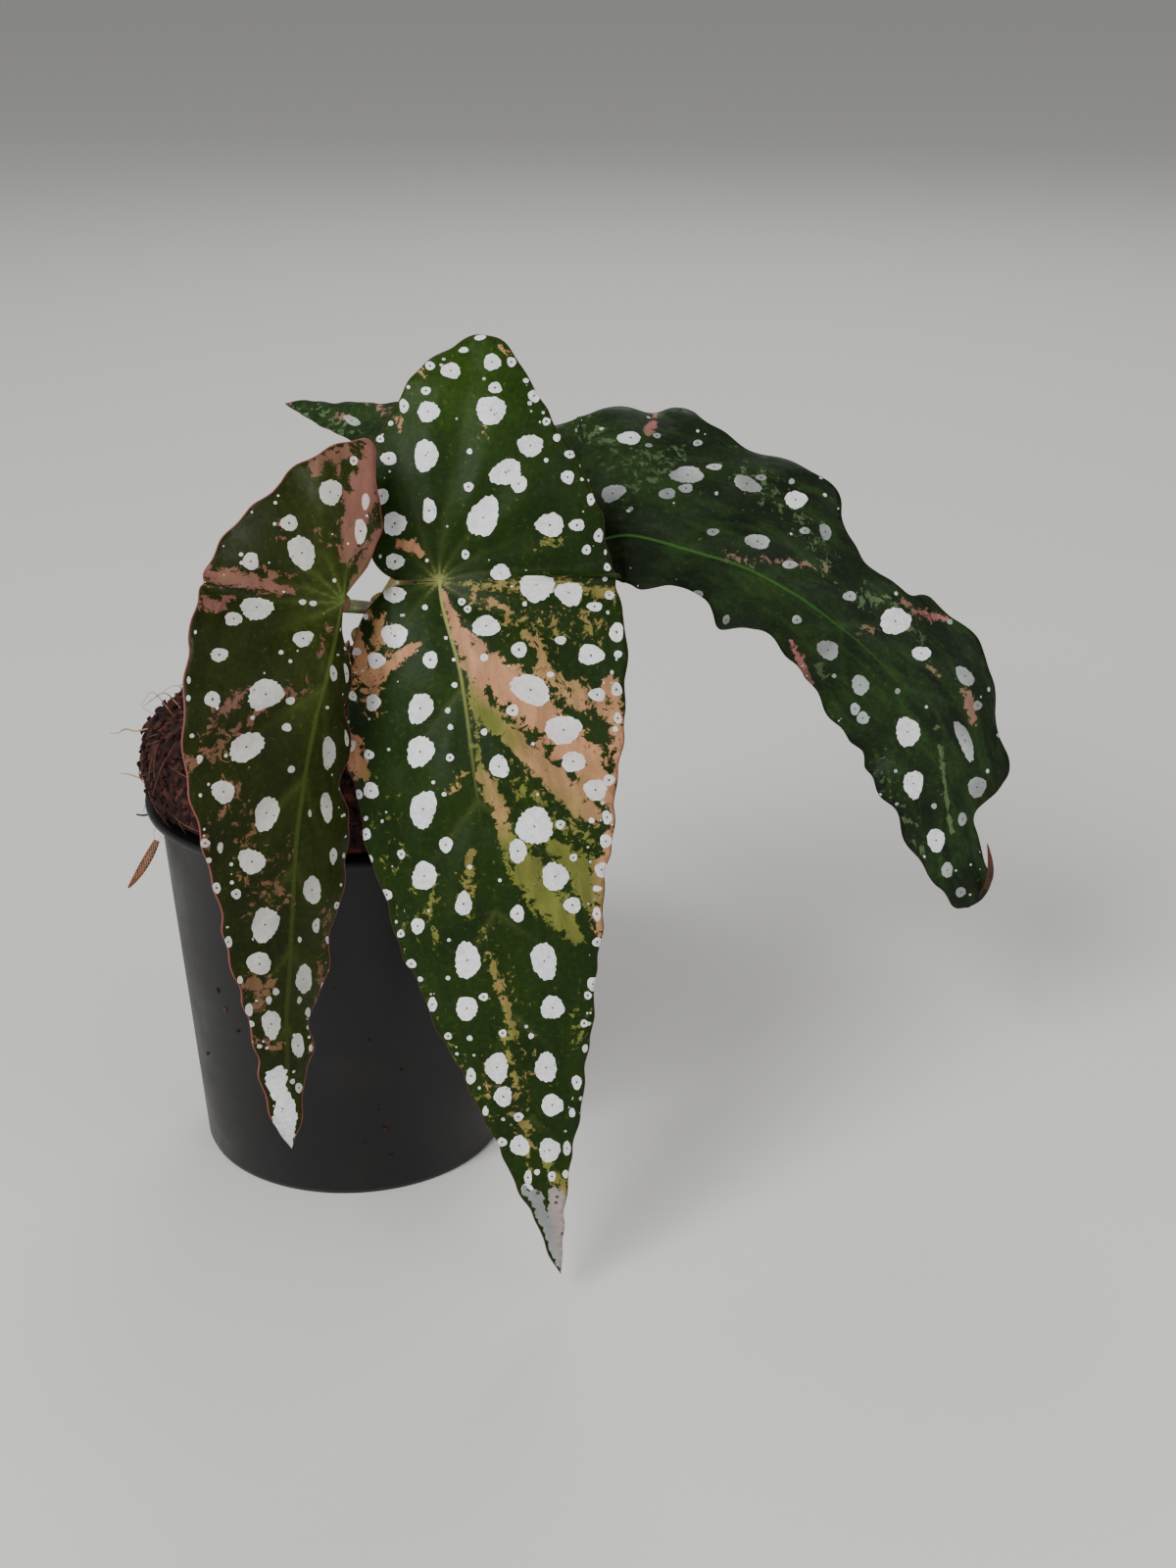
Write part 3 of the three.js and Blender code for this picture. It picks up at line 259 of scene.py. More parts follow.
# Cream and pink strokes, as seen: (strength, blush, [(x, y, half width), ...]). Blush 0 is a yellow-green
# cream and 1 a warm pink.
STROKES = {
    "front": [
        (1.0, 0.95, [(452, 602, 2), (462, 632, 6), (480, 664, 12), (505, 690, 20)]),
        (1.0, 0.85, [(505, 690, 20), (538, 716, 22), (566, 744, 18), (596, 776, 18), (618, 808, 15)]),
        (1.0, 0.1, [(480, 700, 5), (497, 728, 10), (520, 752, 11)]),
        (1.0, 0.65, [(520, 752, 11), (560, 790, 13), (604, 830, 12)]),
        (1.0, 0.6, [(492, 790, 7), (508, 822, 9), (516, 850, 6)]),
        (1.0, 0.05, [(516, 850, 8), (532, 880, 18), (562, 922, 18), (590, 956, 8)]),
        (0.95, 0.1, [(560, 860, 7), (590, 885, 18), (602, 912, 14)]),
        (0.95, 0.8, [(612, 880, 8), (614, 930, 10), (612, 952, 6)]),
        (0.8, 0.9, [(362, 650, 9), (372, 690, 16), (400, 678, 9), (424, 658, 6)]),
        (0.9, 0.95, [(358, 758, 10), (366, 785, 11)]),
        (0.55, 0.7, [(366, 620, 14), (392, 640, 14), (378, 720, 12)]),
        (0.85, 0.8, [(402, 551, 3), (416, 558, 7), (430, 566, 5)]),
        (0.7, 0.35, [(470, 596, 4), (520, 598, 7), (562, 596, 9), (626, 606, 9)]),
        (0.85, 0.7, [(541, 644, 3), (553, 672, 6), (562, 690, 4)]),
        (0.75, 0.8, [(520, 622, 3), (500, 614, 5), (484, 610, 5)]),
        (0.36, 0.4, [(490, 618, 16), (530, 636, 28), (580, 640, 30), (618, 640, 20)]),
        (0.62, 0.6, [(552, 690, 16), (590, 712, 18), (628, 720, 18)]),
        (0.85, 0.95, [(622, 700, 10), (632, 740, 11), (632, 790, 10)]),
        (0.8, 0.9, [(630, 810, 6), (622, 850, 5), (618, 880, 5)]),
        (0.4, 0.2, [(522, 800, 14), (560, 830, 20), (600, 860, 16)]),
        (0.9, 0.15, [(474, 660, 2), (481, 700, 3.5), (485, 760, 4), (494, 812, 4)]),
        (0.42, 0.5, [(470, 790, 10), (460, 806, 8)]),
        (0.38, 0.3, [(480, 868, 9), (478, 930, 12)]),
        (0.75, 0.25, [(482, 868, 4), (477, 900, 5), (476, 915, 4)]),
        (0.5, 0.3, [(446, 895, 5), (438, 930, 6), (446, 965, 5)]),
        (0.3, 0.4, [(496, 950, 12), (512, 1010, 18), (528, 1070, 22), (536, 1160, 18)]),
        (0.75, 0.2, [(503, 985, 4), (510, 1012, 6), (522, 1045, 5), (526, 1060, 4)]),
        (0.66, 0.25, [(514, 1062, 4), (522, 1092, 4), (536, 1122, 3), (541, 1200, 3)]),
        (0.55, 0.7, [(494, 1078, 4), (500, 1120, 4)]),
        (0.85, 0.05, [(558, 1186, 5), (568, 1204, 7), (578, 1216, 7)]),
        (1.0, 1.0, [(570, 1222, 10), (575, 1250, 9), (576, 1290, 6)]),
        (0.5, 0.9, [(430, 378, 5), (438, 390, 3)]),
        (0.5, 0.9, [(512, 355, 5), (522, 362, 3)]),
        (0.55, 0.4, [(486, 450, 4), (494, 440, 5)]),
        (0.6, 0.7, [(404, 420, 3), (408, 440, 4)]),
        (0.5, 0.25, [(550, 556, 6), (572, 552, 6)]),
        (0.36, 0.1, [(600, 1020, 12), (588, 1060, 12)]),
        (0.3, 0.1, [(420, 1000, 14), (470, 1100, 12), (500, 1150, 12)]),
        (0.19, 0.1, [(385, 800, 20), (400, 870, 26), (425, 950, 20)]),
    ],
    "left": [
        (1.0, 0.9, [(384, 455, 14), (376, 490, 20), (362, 530, 16), (352, 572, 6)]),
        (0.95, 1.0, [(385, 545, 6), (378, 565, 11), (366, 590, 7), (358, 610, 3)]),
        (0.75, 0.7, [(318, 474, 10), (336, 468, 14), (352, 462, 12)]),
        (0.85, 0.95, [(210, 585, 10), (240, 590, 10), (275, 598, 8), (300, 604, 4)]),
        (0.85, 1.0, [(206, 615, 9), (222, 618, 6), (238, 610, 4)]),
        (0.6, 0.6, [(230, 588, 6), (268, 582, 5), (300, 588, 3)]),
        (0.65, 0.8, [(285, 530, 5), (287, 548, 4), (300, 548, 3)]),
        (0.5, 0.7, [(322, 540, 6), (332, 556, 6)]),
        (0.66, 0.9, [(212, 732, 8), (236, 716, 8), (256, 700, 4)]),
        (0.7, 0.9, [(236, 750, 5), (252, 737, 6), (270, 722, 4)]),
        (0.48, 0.8, [(286, 716, 8), (304, 704, 10), (320, 690, 6)]),
        (0.7, 0.7, [(193, 780, 10), (206, 770, 7), (222, 762, 5)]),
        (0.5, 0.5, [(206, 842, 6), (224, 832, 5)]),
        (0.62, 0.7, [(206, 858, 6), (216, 866, 6)]),
        (0.5, 0.7, [(334, 640, 5), (326, 668, 5)]),
        (0.6, 0.7, [(274, 900, 5), (288, 906, 6), (296, 922, 6)]),
        (0.7, 0.5, [(256, 1004, 14), (268, 1012, 12), (276, 1000, 6), (262, 1028, 7)]),
        (0.45, 0.6, [(262, 1062, 9), (284, 1068, 7)]),
        (0.3, 0.5, [(225, 750, 22), (250, 860, 22), (270, 930, 20), (290, 870, 14)]),
        (0.4, 0.6, [(333, 930, 6), (325, 1010, 6), (316, 1080, 5)]),
    ],
    "right": [
        (0.95, 0.05, [(956, 739, 0.8), (959, 765, 1.6), (963, 795, 2), (968, 825, 2.6), (970, 850, 1.4)]),
        (0.85, 0.95, [(669, 422, 3), (665, 434, 5), (660, 444, 4)]),
        (0.5, 0.6, [(742, 566, 7), (760, 572, 5), (800, 572, 5), (850, 582, 5)]),
        (0.6, 0.85, [(921, 612, 4), (945, 628, 7), (966, 632, 4)]),
        (0.8, 0.5, [(985, 708, 6), (990, 722, 7), (995, 738, 4)]),
        (0.75, 0.2, [(834, 678, 4), (842, 690, 5)]),
        (0.7, 0.5, [(883, 642, 7), (893, 645, 6)]),
        (0.6, 0.5, [(948, 680, 5), (958, 688, 5)]),
        (1.0, 1.0, [(806, 652, 2), (816, 674, 4), (825, 697, 5)]),
        (0.38, 0.0, [(600, 440, 16), (640, 470, 24), (690, 466, 16), (640, 505, 12)]),
        (0.42, 0.1, [(880, 610, 14), (905, 612, 10), (940, 650, 12)]),
        (0.34, 0.1, [(760, 480, 20), (810, 520, 18), (850, 580, 14)]),
        (0.24, 0.05, [(900, 780, 16), (940, 870, 14)]),
    ],
    "back": [
        (0.45, 0.6, [(378, 412, 6), (394, 420, 10), (404, 430, 8)]),
        (0.42, 0.1, [(318, 414, 6), (334, 422, 8), (346, 430, 8), (362, 442, 8)]),
        (0.6, 0.95, [(346, 425, 6), (354, 427, 5)]),
        (0.55, 0.0, [(300, 416, 3), (322, 430, 3), (350, 444, 3)]),
        (0.8, 0.9, [(290, 411, 4), (296, 412, 3)]),
    ],
}


# ------------------------------------------------------------------ settings that a user would change
def linear(code):
    """An sRGB hex colour as linear red, green, blue and alpha."""
    parts = [int(code[i:i + 2], 16) / 255 for i in (1, 3, 5)]
    return tuple(p / 12.92 if p <= 0.04045 else ((p + 0.055) / 1.055) ** 2.4 for p in parts) + (1.0,)


def colour(name, code, description):
    """A colour setting whose default is a hex colour."""
    return FloatVectorProperty(name=name, description=description, default=linear(code), subtype="COLOR",
                               size=4, min=0, max=1)


class BegoniaFoliage(bpy.types.PropertyGroup):
    """Sizes of the leaf blades."""
    thickness: FloatProperty(name="Blade thickness", description="Thickness of a blade between its veins",
                             default=0.6 * MM, min=0.3 * MM, max=1 * MM, unit="LENGTH")
    midrib: FloatProperty(name="Midrib height", description="How far the midrib stands out of the underside",
                          default=1.5 * MM, min=0, max=2.5 * MM, unit="LENGTH")
    vein: FloatProperty(name="Vein height", description="How far a side vein stands out of the underside",
                        default=0.7 * MM, min=0, max=1.5 * MM, unit="LENGTH")
    quilting: FloatProperty(name="Quilting", description="How far the blade swells between its veins",
                            default=1.3 * MM, min=0, max=2 * MM, unit="LENGTH")
    lattice: FloatProperty(name="Mesh spacing", description="Distance between the points of a blade's mesh",
                           default=1.35 * MM, min=0.8 * MM, max=4 * MM, unit="LENGTH")


class BegoniaColours(bpy.types.PropertyGroup):
    """Colours of the plant and the pot."""
    front_green: colour("Front leaf green", "#162508", "Lamina of the large front leaf")
    front_fresh: colour("Front leaf fresh green", "#273e0b", "Younger green of its upper lobe")
    left_green: colour("Left leaf green", "#151a02", "Olive lamina of the left leaf")
    left_fresh: colour("Left leaf fresh green", "#2c360a", "Lighter olive along its veins")
    right_green: colour("Right leaf green", "#12170f", "Dark lamina of the right leaf")
    right_fresh: colour("Right leaf fresh green", "#263a19", "Fresher green near its stalk, in streaks")
    cream: colour("Cream", "#676a30", "Yellow-green cream of the variegation")
    peach: colour("Peach", "#ad7e5c", "Tan pink of the variegation")
    flushed: colour("Flushed pink", "#94605a", "Pink variegation of the right and back leaves")
    pink: colour("Pink", "#6f4a40", "Pink variegation of the left leaf")
    silver: colour("Silver", "#e0e3e1", "The spots of the front and left leaves")
    dull_silver: colour("Dull silver", "#a6aba8", "The spots of the right and back leaves")
    front_margin: colour("Front leaf margin", "#4d3828", "Thin brown line along its edge")
    left_margin: colour("Left leaf margin", "#8b4a46", "Red line along its edge")
    right_margin: colour("Right leaf margin", "#37301f", "Dull line along its edge")
    underside: colour("Underside", "#4d1219", "Burgundy underside of the blades")
    stalk: colour("Stalk", "#66743a", "Leaf stalks")
    cane: colour("Cane", "#5f6a35", "Cane between its nodes")
    mix: colour("Growing mix", "#33150f", "Coir and bark")
    pot: colour("Pot", "#0c0c0d", "Black polypropylene")


# ------------------------------------------------------------------ materials
# In order, a map range takes its value, the range it comes from and the range it goes to, and a mix its
# share and its two colours.
def add(tree, kind, *inputs, **settings):
    """Adds a node with its settings. Its inputs come in order, or in a table by name. Each is a value, a
    hex colour, a socket, or a node, which stands for its first live output."""
    made = tree.nodes.new("ShaderNode" + kind)
    for key, value in settings.items():
        setattr(made, key, value)
    if inputs and isinstance(inputs[0], dict):
        pairs = [(made.inputs[key], source) for key, source in inputs[0].items()]
    else:
        pairs = zip([socket for socket in made.inputs if socket.enabled], inputs)
    for socket, source in pairs:
        if isinstance(source, bpy.types.Node):
            source = next(output for output in source.outputs if output.enabled)
        if isinstance(source, bpy.types.NodeSocket):
            tree.links.new(source, socket)
        else:
            value = linear(source) if isinstance(source, str) else source
            socket.default_value = value[:3] if socket.type == "VECTOR" else value
    return made


def new_material(name):
    """An empty node material and its tree."""
    made = bpy.data.materials.new(name)
    made.use_nodes = True
    made.node_tree.nodes.clear()
    return made, made.node_tree


def surfaced(made, inputs):
    """The material, once its surface shader has these inputs."""
    add(made.node_tree, "OutputMaterial", add(made.node_tree, "BsdfPrincipled", inputs))
    return made


def leaf_lamina(name, deep, fresh, cream, warm, vein, vein_width, specks, streaks, margin, margin_width):
    """Upper face of a begonia leaf under its waxy cuticle. The eye sees a deep green with a soft gloss,
    finely quilted by its veinlets, with ragged cream and pink sectors, tiny silver specks by the edge,
    pale main veins, and a thin coloured margin."""
    made, tree = new_material(name)
    at = add(tree, "Attribute", attribute_name="blade_mm").outputs["Vector"]
    edge, rib, midrib, zone, blush, youth = (
        add(tree, "Attribute", attribute_name=a).outputs["Fac"]
        for a in ("edge_mm", "rib", "midrib", "variegation", "blush", "youth"))
    broad = add(tree, "TexNoise", {"Vector": at, "Scale": 0.06, "Detail": 4, "Roughness": 0.6})
    ragged = add(tree, "TexNoise", {"Vector": at, "Scale": 0.42, "Detail": 7, "Roughness": 0.72,
                                    "Distortion": 0.5})
    fleck = add(tree, "TexNoise", {"Vector": at, "Scale": 0.8, "Detail": 5, "Roughness": 0.65})
    # green, fresher where young, along the veins and in soft streaks down the blade, with a mottle of
    # lighter cells
    blend = add(tree, "MapRange", broad, 0.35, 0.7, 0, 0.35)
    drawn = add(tree, "VectorMath", at, (0.28, 1, 1), operation="MULTIPLY")
    strand = add(tree, "TexNoise", {"Vector": drawn, "Scale": 0.22, "Detail": 7, "Roughness": 0.68,
                                    "Distortion": 0.6})
    streaky = add(tree, "MapRange", strand, 0.46, 0.68, 0, streaks)
    softened = add(tree, "Math", blend, streaky, operation="ADD")
    uneven = add(tree, "MapRange", ragged, 0.35, 0.62, 0.45, 1.25)
    youthful = add(tree, "Math", youth, uneven, softened, operation="MULTIPLY_ADD", use_clamp=True)
    green = add(tree, "Mix", youthful, deep, fresh, data_type="RGBA")
    mottle = add(tree, "MapRange", fleck, 0.3, 0.75, 0.7, 1.3)
    shaded = add(tree, "VectorMath", green, mottle, operation="SCALE")
    # small loose flecks of cream
    loose = add(tree, "MapRange", fleck, 0.64, 0.69, 0, 0.45)
    flecked = add(tree, "Mix", loose, shaded, cream, data_type="RGBA")
    # cream sectors with ragged borders, faintly streaked
    drift = add(tree, "Math", broad, 0.9, -0.45, operation="MULTIPLY_ADD")
    tending = add(tree, "Math", blush, drift, operation="ADD")
    warmth = add(tree, "MapRange", tending, 0.2, 0.85)
    dyed = add(tree, "Mix", warmth, cream, warm, data_type="RGBA")
    grain = add(tree, "MapRange", strand, 0.38, 0.64, 0.74, 1.2)
    sector = add(tree, "VectorMath", dyed, grain, operation="SCALE")
    push = add(tree, "Math", ragged, 3.4, -1.7, operation="MULTIPLY_ADD")
    reach = add(tree, "Math", zone, push, operation="ADD")
    within = add(tree, "MapRange", reach, 0.46, 0.56)
    variegated = add(tree, "Mix", within, flecked, sector, data_type="RGBA")
    # pale main veins, and the midrib as a fine line
    across = add(tree, "SeparateXYZ", at)
    off = add(tree, "Math", across.outputs["Y"], operation="ABSOLUTE")
    fine_line = add(tree, "MapRange", off, vein_width * 0.4, vein_width, 1, 0)
    shown = add(tree, "Math", fine_line, midrib, operation="MULTIPLY")
    veins = add(tree, "Math", shown, rib, operation="MAXIMUM")
    veined = add(tree, "Mix", veins, variegated, vein, data_type="RGBA")
    # silver specks, close together only near the edge
    cells = add(tree, "TexVoronoi", {"Vector": at, "Scale": 0.5})
    pick = add(tree, "SeparateColor", cells.outputs["Color"])
    nearness = add(tree, "MapRange", edge, 2, 8, 1 - specks, 0.96)
    chosen = add(tree, "Math", pick.outputs[0], nearness, operation="GREATER_THAN")
    radius = add(tree, "MapRange", pick.outputs[1], 0, 1, 0.08, 0.26)
    round_speck = add(tree, "Math", cells, radius, operation="LESS_THAN")
    speck = add(tree, "Math", chosen, round_speck, operation="MULTIPLY")
    specked = add(tree, "Mix", speck, veined, "#b9c0b4", data_type="RGBA")
    # coloured margin
    line = add(tree, "MapRange", edge, margin_width * 0.4, margin_width, 0.85, 0)
    rimmed = add(tree, "Mix", line, specked, margin, data_type="RGBA")
    # veinlets about 2.2 mm apart, and the leaf's cells
    net = add(tree, "TexVoronoi", {"Vector": at, "Scale": 0.45}, feature="DISTANCE_TO_EDGE")
    groove = add(tree, "MapRange", net, 0, 0.25)
    fine = add(tree, "TexNoise", {"Vector": at, "Scale": 2.0, "Detail": 3})
    height = add(tree, "Math", fine, 0.35, groove, operation="MULTIPLY_ADD")
    bump = add(tree, "Bump", {"Height": height, "Strength": 0.16, "Distance": 0.15 * MM})
    gloss = add(tree, "MapRange", broad, 0, 1, 0.4, 0.56)
    return surfaced(made, {"Base Color": rimmed, "Normal": bump, "Roughness": gloss, "IOR": 1.4,
                           "Specular IOR Level": 0.15})


def silver_spot(name, silver, dullest, pore_size):
    """Air under the leaf's skin, which makes the spots. The eye sees matt silver white, finely veined, with
    a dark pore at its middle and pinpricks, a little pink over the pink sectors, and some duller spots."""
    made, tree = new_material(name)
    at = add(tree, "Attribute", attribute_name="blade_mm").outputs["Vector"]
    zone, blush, centre = (add(tree, "Attribute", attribute_name=a).outputs["Fac"]
                           for a in ("variegation", "blush", "pore_mm"))
    patch = add(tree, "TexNoise", {"Vector": at, "Scale": 0.07, "Detail": 1})
    dulled = add(tree, "MapRange", patch, 0.4, 0.62, dullest)
    cloud = add(tree, "TexNoise", {"Vector": at, "Scale": 0.7, "Detail": 6, "Roughness": 0.75})
    tint = add(tree, "MapRange", cloud, 0.3, 0.7, 0.76, 1.1)
    tone = add(tree, "Math", dulled, tint, operation="MULTIPLY")
    tinted = add(tree, "VectorMath", silver, tone, operation="SCALE")
    warm = add(tree, "Math", zone, blush, operation="MULTIPLY")
    flush = add(tree, "Math", warm, 0.4, operation="MULTIPLY")
    rosy = add(tree, "Mix", flush, tinted, "#c9a39c", data_type="RGBA")
    net = add(tree, "TexVoronoi", {"Vector": at, "Scale": 0.28}, feature="DISTANCE_TO_EDGE")
    line = add(tree, "MapRange", net, 0.01, 0.05, 0.22, 0)
    lined = add(tree, "Mix", line, rosy, "#8f978f", data_type="RGBA")
    cells = add(tree, "TexVoronoi", {"Vector": at, "Scale": 0.38})
    pinprick = add(tree, "Math", cells, pore_size, operation="LESS_THAN")
    middle = add(tree, "Math", centre, 0.27, operation="LESS_THAN")
    dark = add(tree, "Math", pinprick, middle, operation="MAXIMUM")
    pored = add(tree, "Mix", dark, lined, "#3a3f38", data_type="RGBA")
    fine = add(tree, "TexNoise", {"Vector": at, "Scale": 2.5, "Detail": 3})
    bump = add(tree, "Bump", {"Height": fine, "Strength": 0.2, "Distance": 0.1 * MM})
    return surfaced(made, {"Base Color": pored, "Normal": bump, "Roughness": 0.55, "IOR": 1.45})


def leaf_underside(name, burgundy):
    """Underside of a begonia leaf. The eye sees a satin burgundy red with paler raised veins."""
    made, tree = new_material(name)
    at = add(tree, "Attribute", attribute_name="blade_mm").outputs["Vector"]
    rib = add(tree, "Attribute", attribute_name="rib").outputs["Fac"]
    cloud = add(tree, "TexNoise", {"Vector": at, "Scale": 0.15, "Detail": 5, "Roughness": 0.6})
    shade = add(tree, "MapRange", cloud, 0.3, 0.7, 0.7, 1.25)
    tinted = add(tree, "VectorMath", burgundy, shade, operation="SCALE")
    veined = add(tree, "Mix", rib, tinted, "#8a5a44", data_type="RGBA")
    net = add(tree, "TexVoronoi", {"Vector": at, "Scale": 0.45}, feature="DISTANCE_TO_EDGE")
    ridge = add(tree, "MapRange", net, 0, 0.2, 1, 0)
    bump = add(tree, "Bump", {"Height": ridge, "Strength": 0.35, "Distance": 0.2 * MM})
    return surfaced(made, {"Base Color": veined, "Normal": bump, "Roughness": 0.42, "IOR": 1.45})


def plant_stem(name, green, flush, grain):
    """Succulent begonia stem. The eye sees a satin green with a rosy flush and small pale pores."""
    made, tree = new_material(name)
    at = add(tree, "TexCoord").outputs["Object"]
    cloud = add(tree, "TexNoise", {"Vector": at, "Scale": 90, "Detail": 5, "Roughness": 0.6})
    amount = add(tree, "MapRange", cloud, 0.4, 0.65)
    flushed = add(tree, "Mix", amount, green, flush, data_type="RGBA")
    cells = add(tree, "TexVoronoi", {"Vector": at, "Scale": 480})  # pores about 2 mm apart
    pore = add(tree, "MapRange", cells, 0.14, 0.24, 0.8, 0)
    pored = add(tree, "Mix", pore, flushed, "#a9a27c", data_type="RGBA")
    fine = add(tree, "TexNoise", {"Vector": at, "Scale": grain, "Detail": 4})
    bump = add(tree, "Bump", {"Height": fine, "Strength": 0.4, "Distance": 0.2 * MM})
    return surfaced(made, {"Base Color": pored, "Normal": bump, "Roughness": 0.42, "IOR": 1.42})


def coir_and_bark(name, brown, dark, pale):
    """Damp coir crumbs and bark chips. The eye sees matt red-brown lumps over nearly black gaps."""
    made, tree = new_material(name)
    at = add(tree, "TexCoord").outputs["Object"]
    cells = add(tree, "TexVoronoi", {"Vector": at, "Scale": 520})  # crumbs about 2 mm across
    pick = add(tree, "SeparateColor", cells.outputs["Color"])
    tone = add(tree, "Mix", pick.outputs[0], dark, brown, data_type="RGBA")
    light = add(tree, "MapRange", pick.outputs[1], 0.75, 0.9, 0, 0.6)
    lit = add(tree, "Mix", light, tone, pale, data_type="RGBA")
    grain = add(tree, "TexNoise", {"Vector": at, "Scale": 1800, "Detail": 6, "Roughness": 0.7})
    grained = add(tree, "MapRange", grain, 0.3, 0.7, 0.55, 1.4)
    done = add(tree, "VectorMath", lit, grained, operation="SCALE")
    bump = add(tree, "Bump", {"Height": grain, "Strength": 0.7, "Distance": 0.4 * MM})
    return surfaced(made, {"Base Color": done, "Normal": bump, "Roughness": 0.85, "IOR": 1.5,
                           "Specular IOR Level": 0.25})


def moulded_polypropylene(name, black):
    """Injection-moulded black polypropylene. The eye sees a satin black, slightly scuffed, with a film of
    dust from the mix."""
    made, tree = new_material(name)
    at = add(tree, "TexCoord").outputs["Object"]
    dust = add(tree, "TexNoise", {"Vector": at, "Scale": 45, "Detail": 8, "Roughness": 0.7})
    film = add(tree, "MapRange", dust, 0.5, 0.8, 0, 0.14)
    dusty = add(tree, "Mix", film, black, "#4a403b", data_type="RGBA")
    scuff = add(tree, "MapRange", dust, 0.3, 0.75, 0.36, 0.58)
    fine = add(tree, "TexNoise", {"Vector": at, "Scale": 1500, "Detail": 2})  # 0.7 mm mould grain
    bump = add(tree, "Bump", {"Height": fine, "Strength": 0.15, "Distance": 0.1 * MM})
    return surfaced(made, {"Base Color": dusty, "Roughness": scuff, "Normal": bump, "IOR": 1.49,
                           "Specular IOR Level": 0.35})


def dry_plant_fibre(name, pale, dark):
    """Dead roots, husk and threads. The eye sees papery straw to tan fibres with brown ends."""
    made, tree = new_material(name)
    at = add(tree, "TexCoord").outputs["Object"]
    cloud = add(tree, "TexNoise", {"Vector": at, "Scale": 350, "Detail": 5, "Roughness": 0.6})
    amount = add(tree, "MapRange", cloud, 0.42, 0.66)
    mixed = add(tree, "Mix", amount, pale, dark, data_type="RGBA")
    bump = add(tree, "Bump", {"Height": cloud, "Strength": 0.5, "Distance": 0.2 * MM})
    return surfaced(made, {"Base Color": mixed, "Normal": bump, "Roughness": 0.7, "IOR": 1.5})


def matt_paper(name, pale):
    """Matt studio paper: an even pale grey with no gloss."""
    made, _ = new_material(name)
    return surfaced(made, {"Base Color": pale, "Roughness": 0.9})


# ------------------------------------------------------------------ meshes
def mesh_piece(name, points, faces, materials, face_materials=None, values=None):
    """A smooth-shaded mesh object from points in millimetres. values holds point attributes."""
    mesh = bpy.data.meshes.new(name)
    mesh.from_pydata((np.asarray(points, float) * MM).tolist(), [], [list(map(int, f)) for f in faces])
    for made in materials:
        mesh.materials.append(made)
    if face_materials is not None:
        mesh.polygons.foreach_set("material_index", np.asarray(face_materials, np.int32))
    for key, data in (values or {}).items():
        data = np.asarray(data, np.float32)
        kind, field = ("FLOAT", "value") if data.ndim == 1 else ("FLOAT_VECTOR", "vector")
        mesh.attributes.new(key, kind, "POINT").data.foreach_set(field, data.ravel())
    mesh.polygons.foreach_set("use_smooth", np.ones(len(mesh.polygons), bool))
    mesh.validate()
    mesh.update()
    piece = bpy.data.objects.new(name, mesh)
    bpy.context.scene.collection.objects.link(piece)
    return piece


def seat(piece, slot, *nodes):
    """The piece rides on the plant's body and stands for CAD nodes; slot is not used."""
    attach(piece, "root")
    if nodes:
        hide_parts(*nodes)
    return piece


def unit(vectors):
    """The vectors at length 1."""
    return vectors / np.linalg.norm(vectors, axis=-1, keepdims=True)


def run_along(points):
    """How far along the points each one is."""
    return np.concatenate([[0], np.cumsum(np.linalg.norm(np.diff(points, axis=0), axis=1))])


def hermite(a, out, b, into, t):
    """The cubic curve from a, leaving as out, to b, arriving as into."""
    return (a * (2 * t ** 3 - 3 * t * t + 1) + out * (t ** 3 - 2 * t * t + t)
            + b * (3 * t * t - 2 * t ** 3) + into * (t ** 3 - t * t))


def curve_through(points, spacing):
    """An evenly resampled centripetal Catmull-Rom curve through the points."""
    points = np.asarray(points, float)
    ends = [2 * points[0] - points[1], 2 * points[-1] - points[-2]]
    whole = np.vstack([ends[0], points, ends[1]])
    fine = []
    for p0, p1, p2, p3 in zip(whole, whole[1:], whole[2:], whole[3:]):
        k0, k1, k2 = (max(np.linalg.norm(b - a), 1e-6) ** 0.5 for a, b in ((p0, p1), (p1, p2), (p2, p3)))
        out = ((p1 - p0) / k0 - (p2 - p0) / (k0 + k1) + (p2 - p1) / k1) * k1
        into = ((p2 - p1) / k1 - (p3 - p1) / (k1 + k2) + (p3 - p2) / k2) * k1
        fine += [hermite(p1, out, p2, into, t) for t in np.linspace(0, 1, 24, endpoint=False)]
    fine = np.array(fine + [points[-1]])
    run = run_along(fine)
    stops = np.linspace(0, run[-1], max(2, round(run[-1] / spacing)) + 1)
    return np.stack([np.interp(stops, run, fine[:, c]) for c in range(fine.shape[1])], -1)


def sweep(points, radii, sides):
    """A round tube along points with a radius at each, closed at both ends. Returns points and faces."""
    points = np.asarray(points, float)
    radii = np.broadcast_to(radii, len(points))
    along = unit(np.gradient(points, axis=0))
    out = np.cross(along[0], [0.3, 0.5, 0.8])
    rings, faces = [], []
    turns = np.linspace(0, 2 * math.pi, sides, endpoint=False)
    for centre, direction, radius in zip(points, along, radii):
        out = unit(out - direction * (out @ direction))
        side = np.cross(direction, out)
        rings.append(centre + radius * (np.outer(np.cos(turns), out) + np.outer(np.sin(turns), side)))
    for r in range(len(points) - 1):
        for i in range(sides):
            j = (i + 1) % sides
            faces.append((r * sides + i, r * sides + j, (r + 1) * sides + j, (r + 1) * sides + i))
    faces.append(tuple(range(sides - 1, -1, -1)))
    faces.append(tuple(range((len(points) - 1) * sides, len(points) * sides)))
    return np.vstack(rings), faces


def join(parts):
    """Several (points, faces) as one."""
    points, faces, start = [], [], 0
    for some_points, some_faces in parts:
        points.append(some_points)
        faces += [tuple(i + start for i in f) for f in some_faces]
        start += len(some_points)
    return np.vstack(points), faces


# ------------------------------------------------------------------ leaf blades
def bell(distance, width):
    """A smooth bump, 1 at no distance."""
    return np.exp(-(distance / width) ** 2)


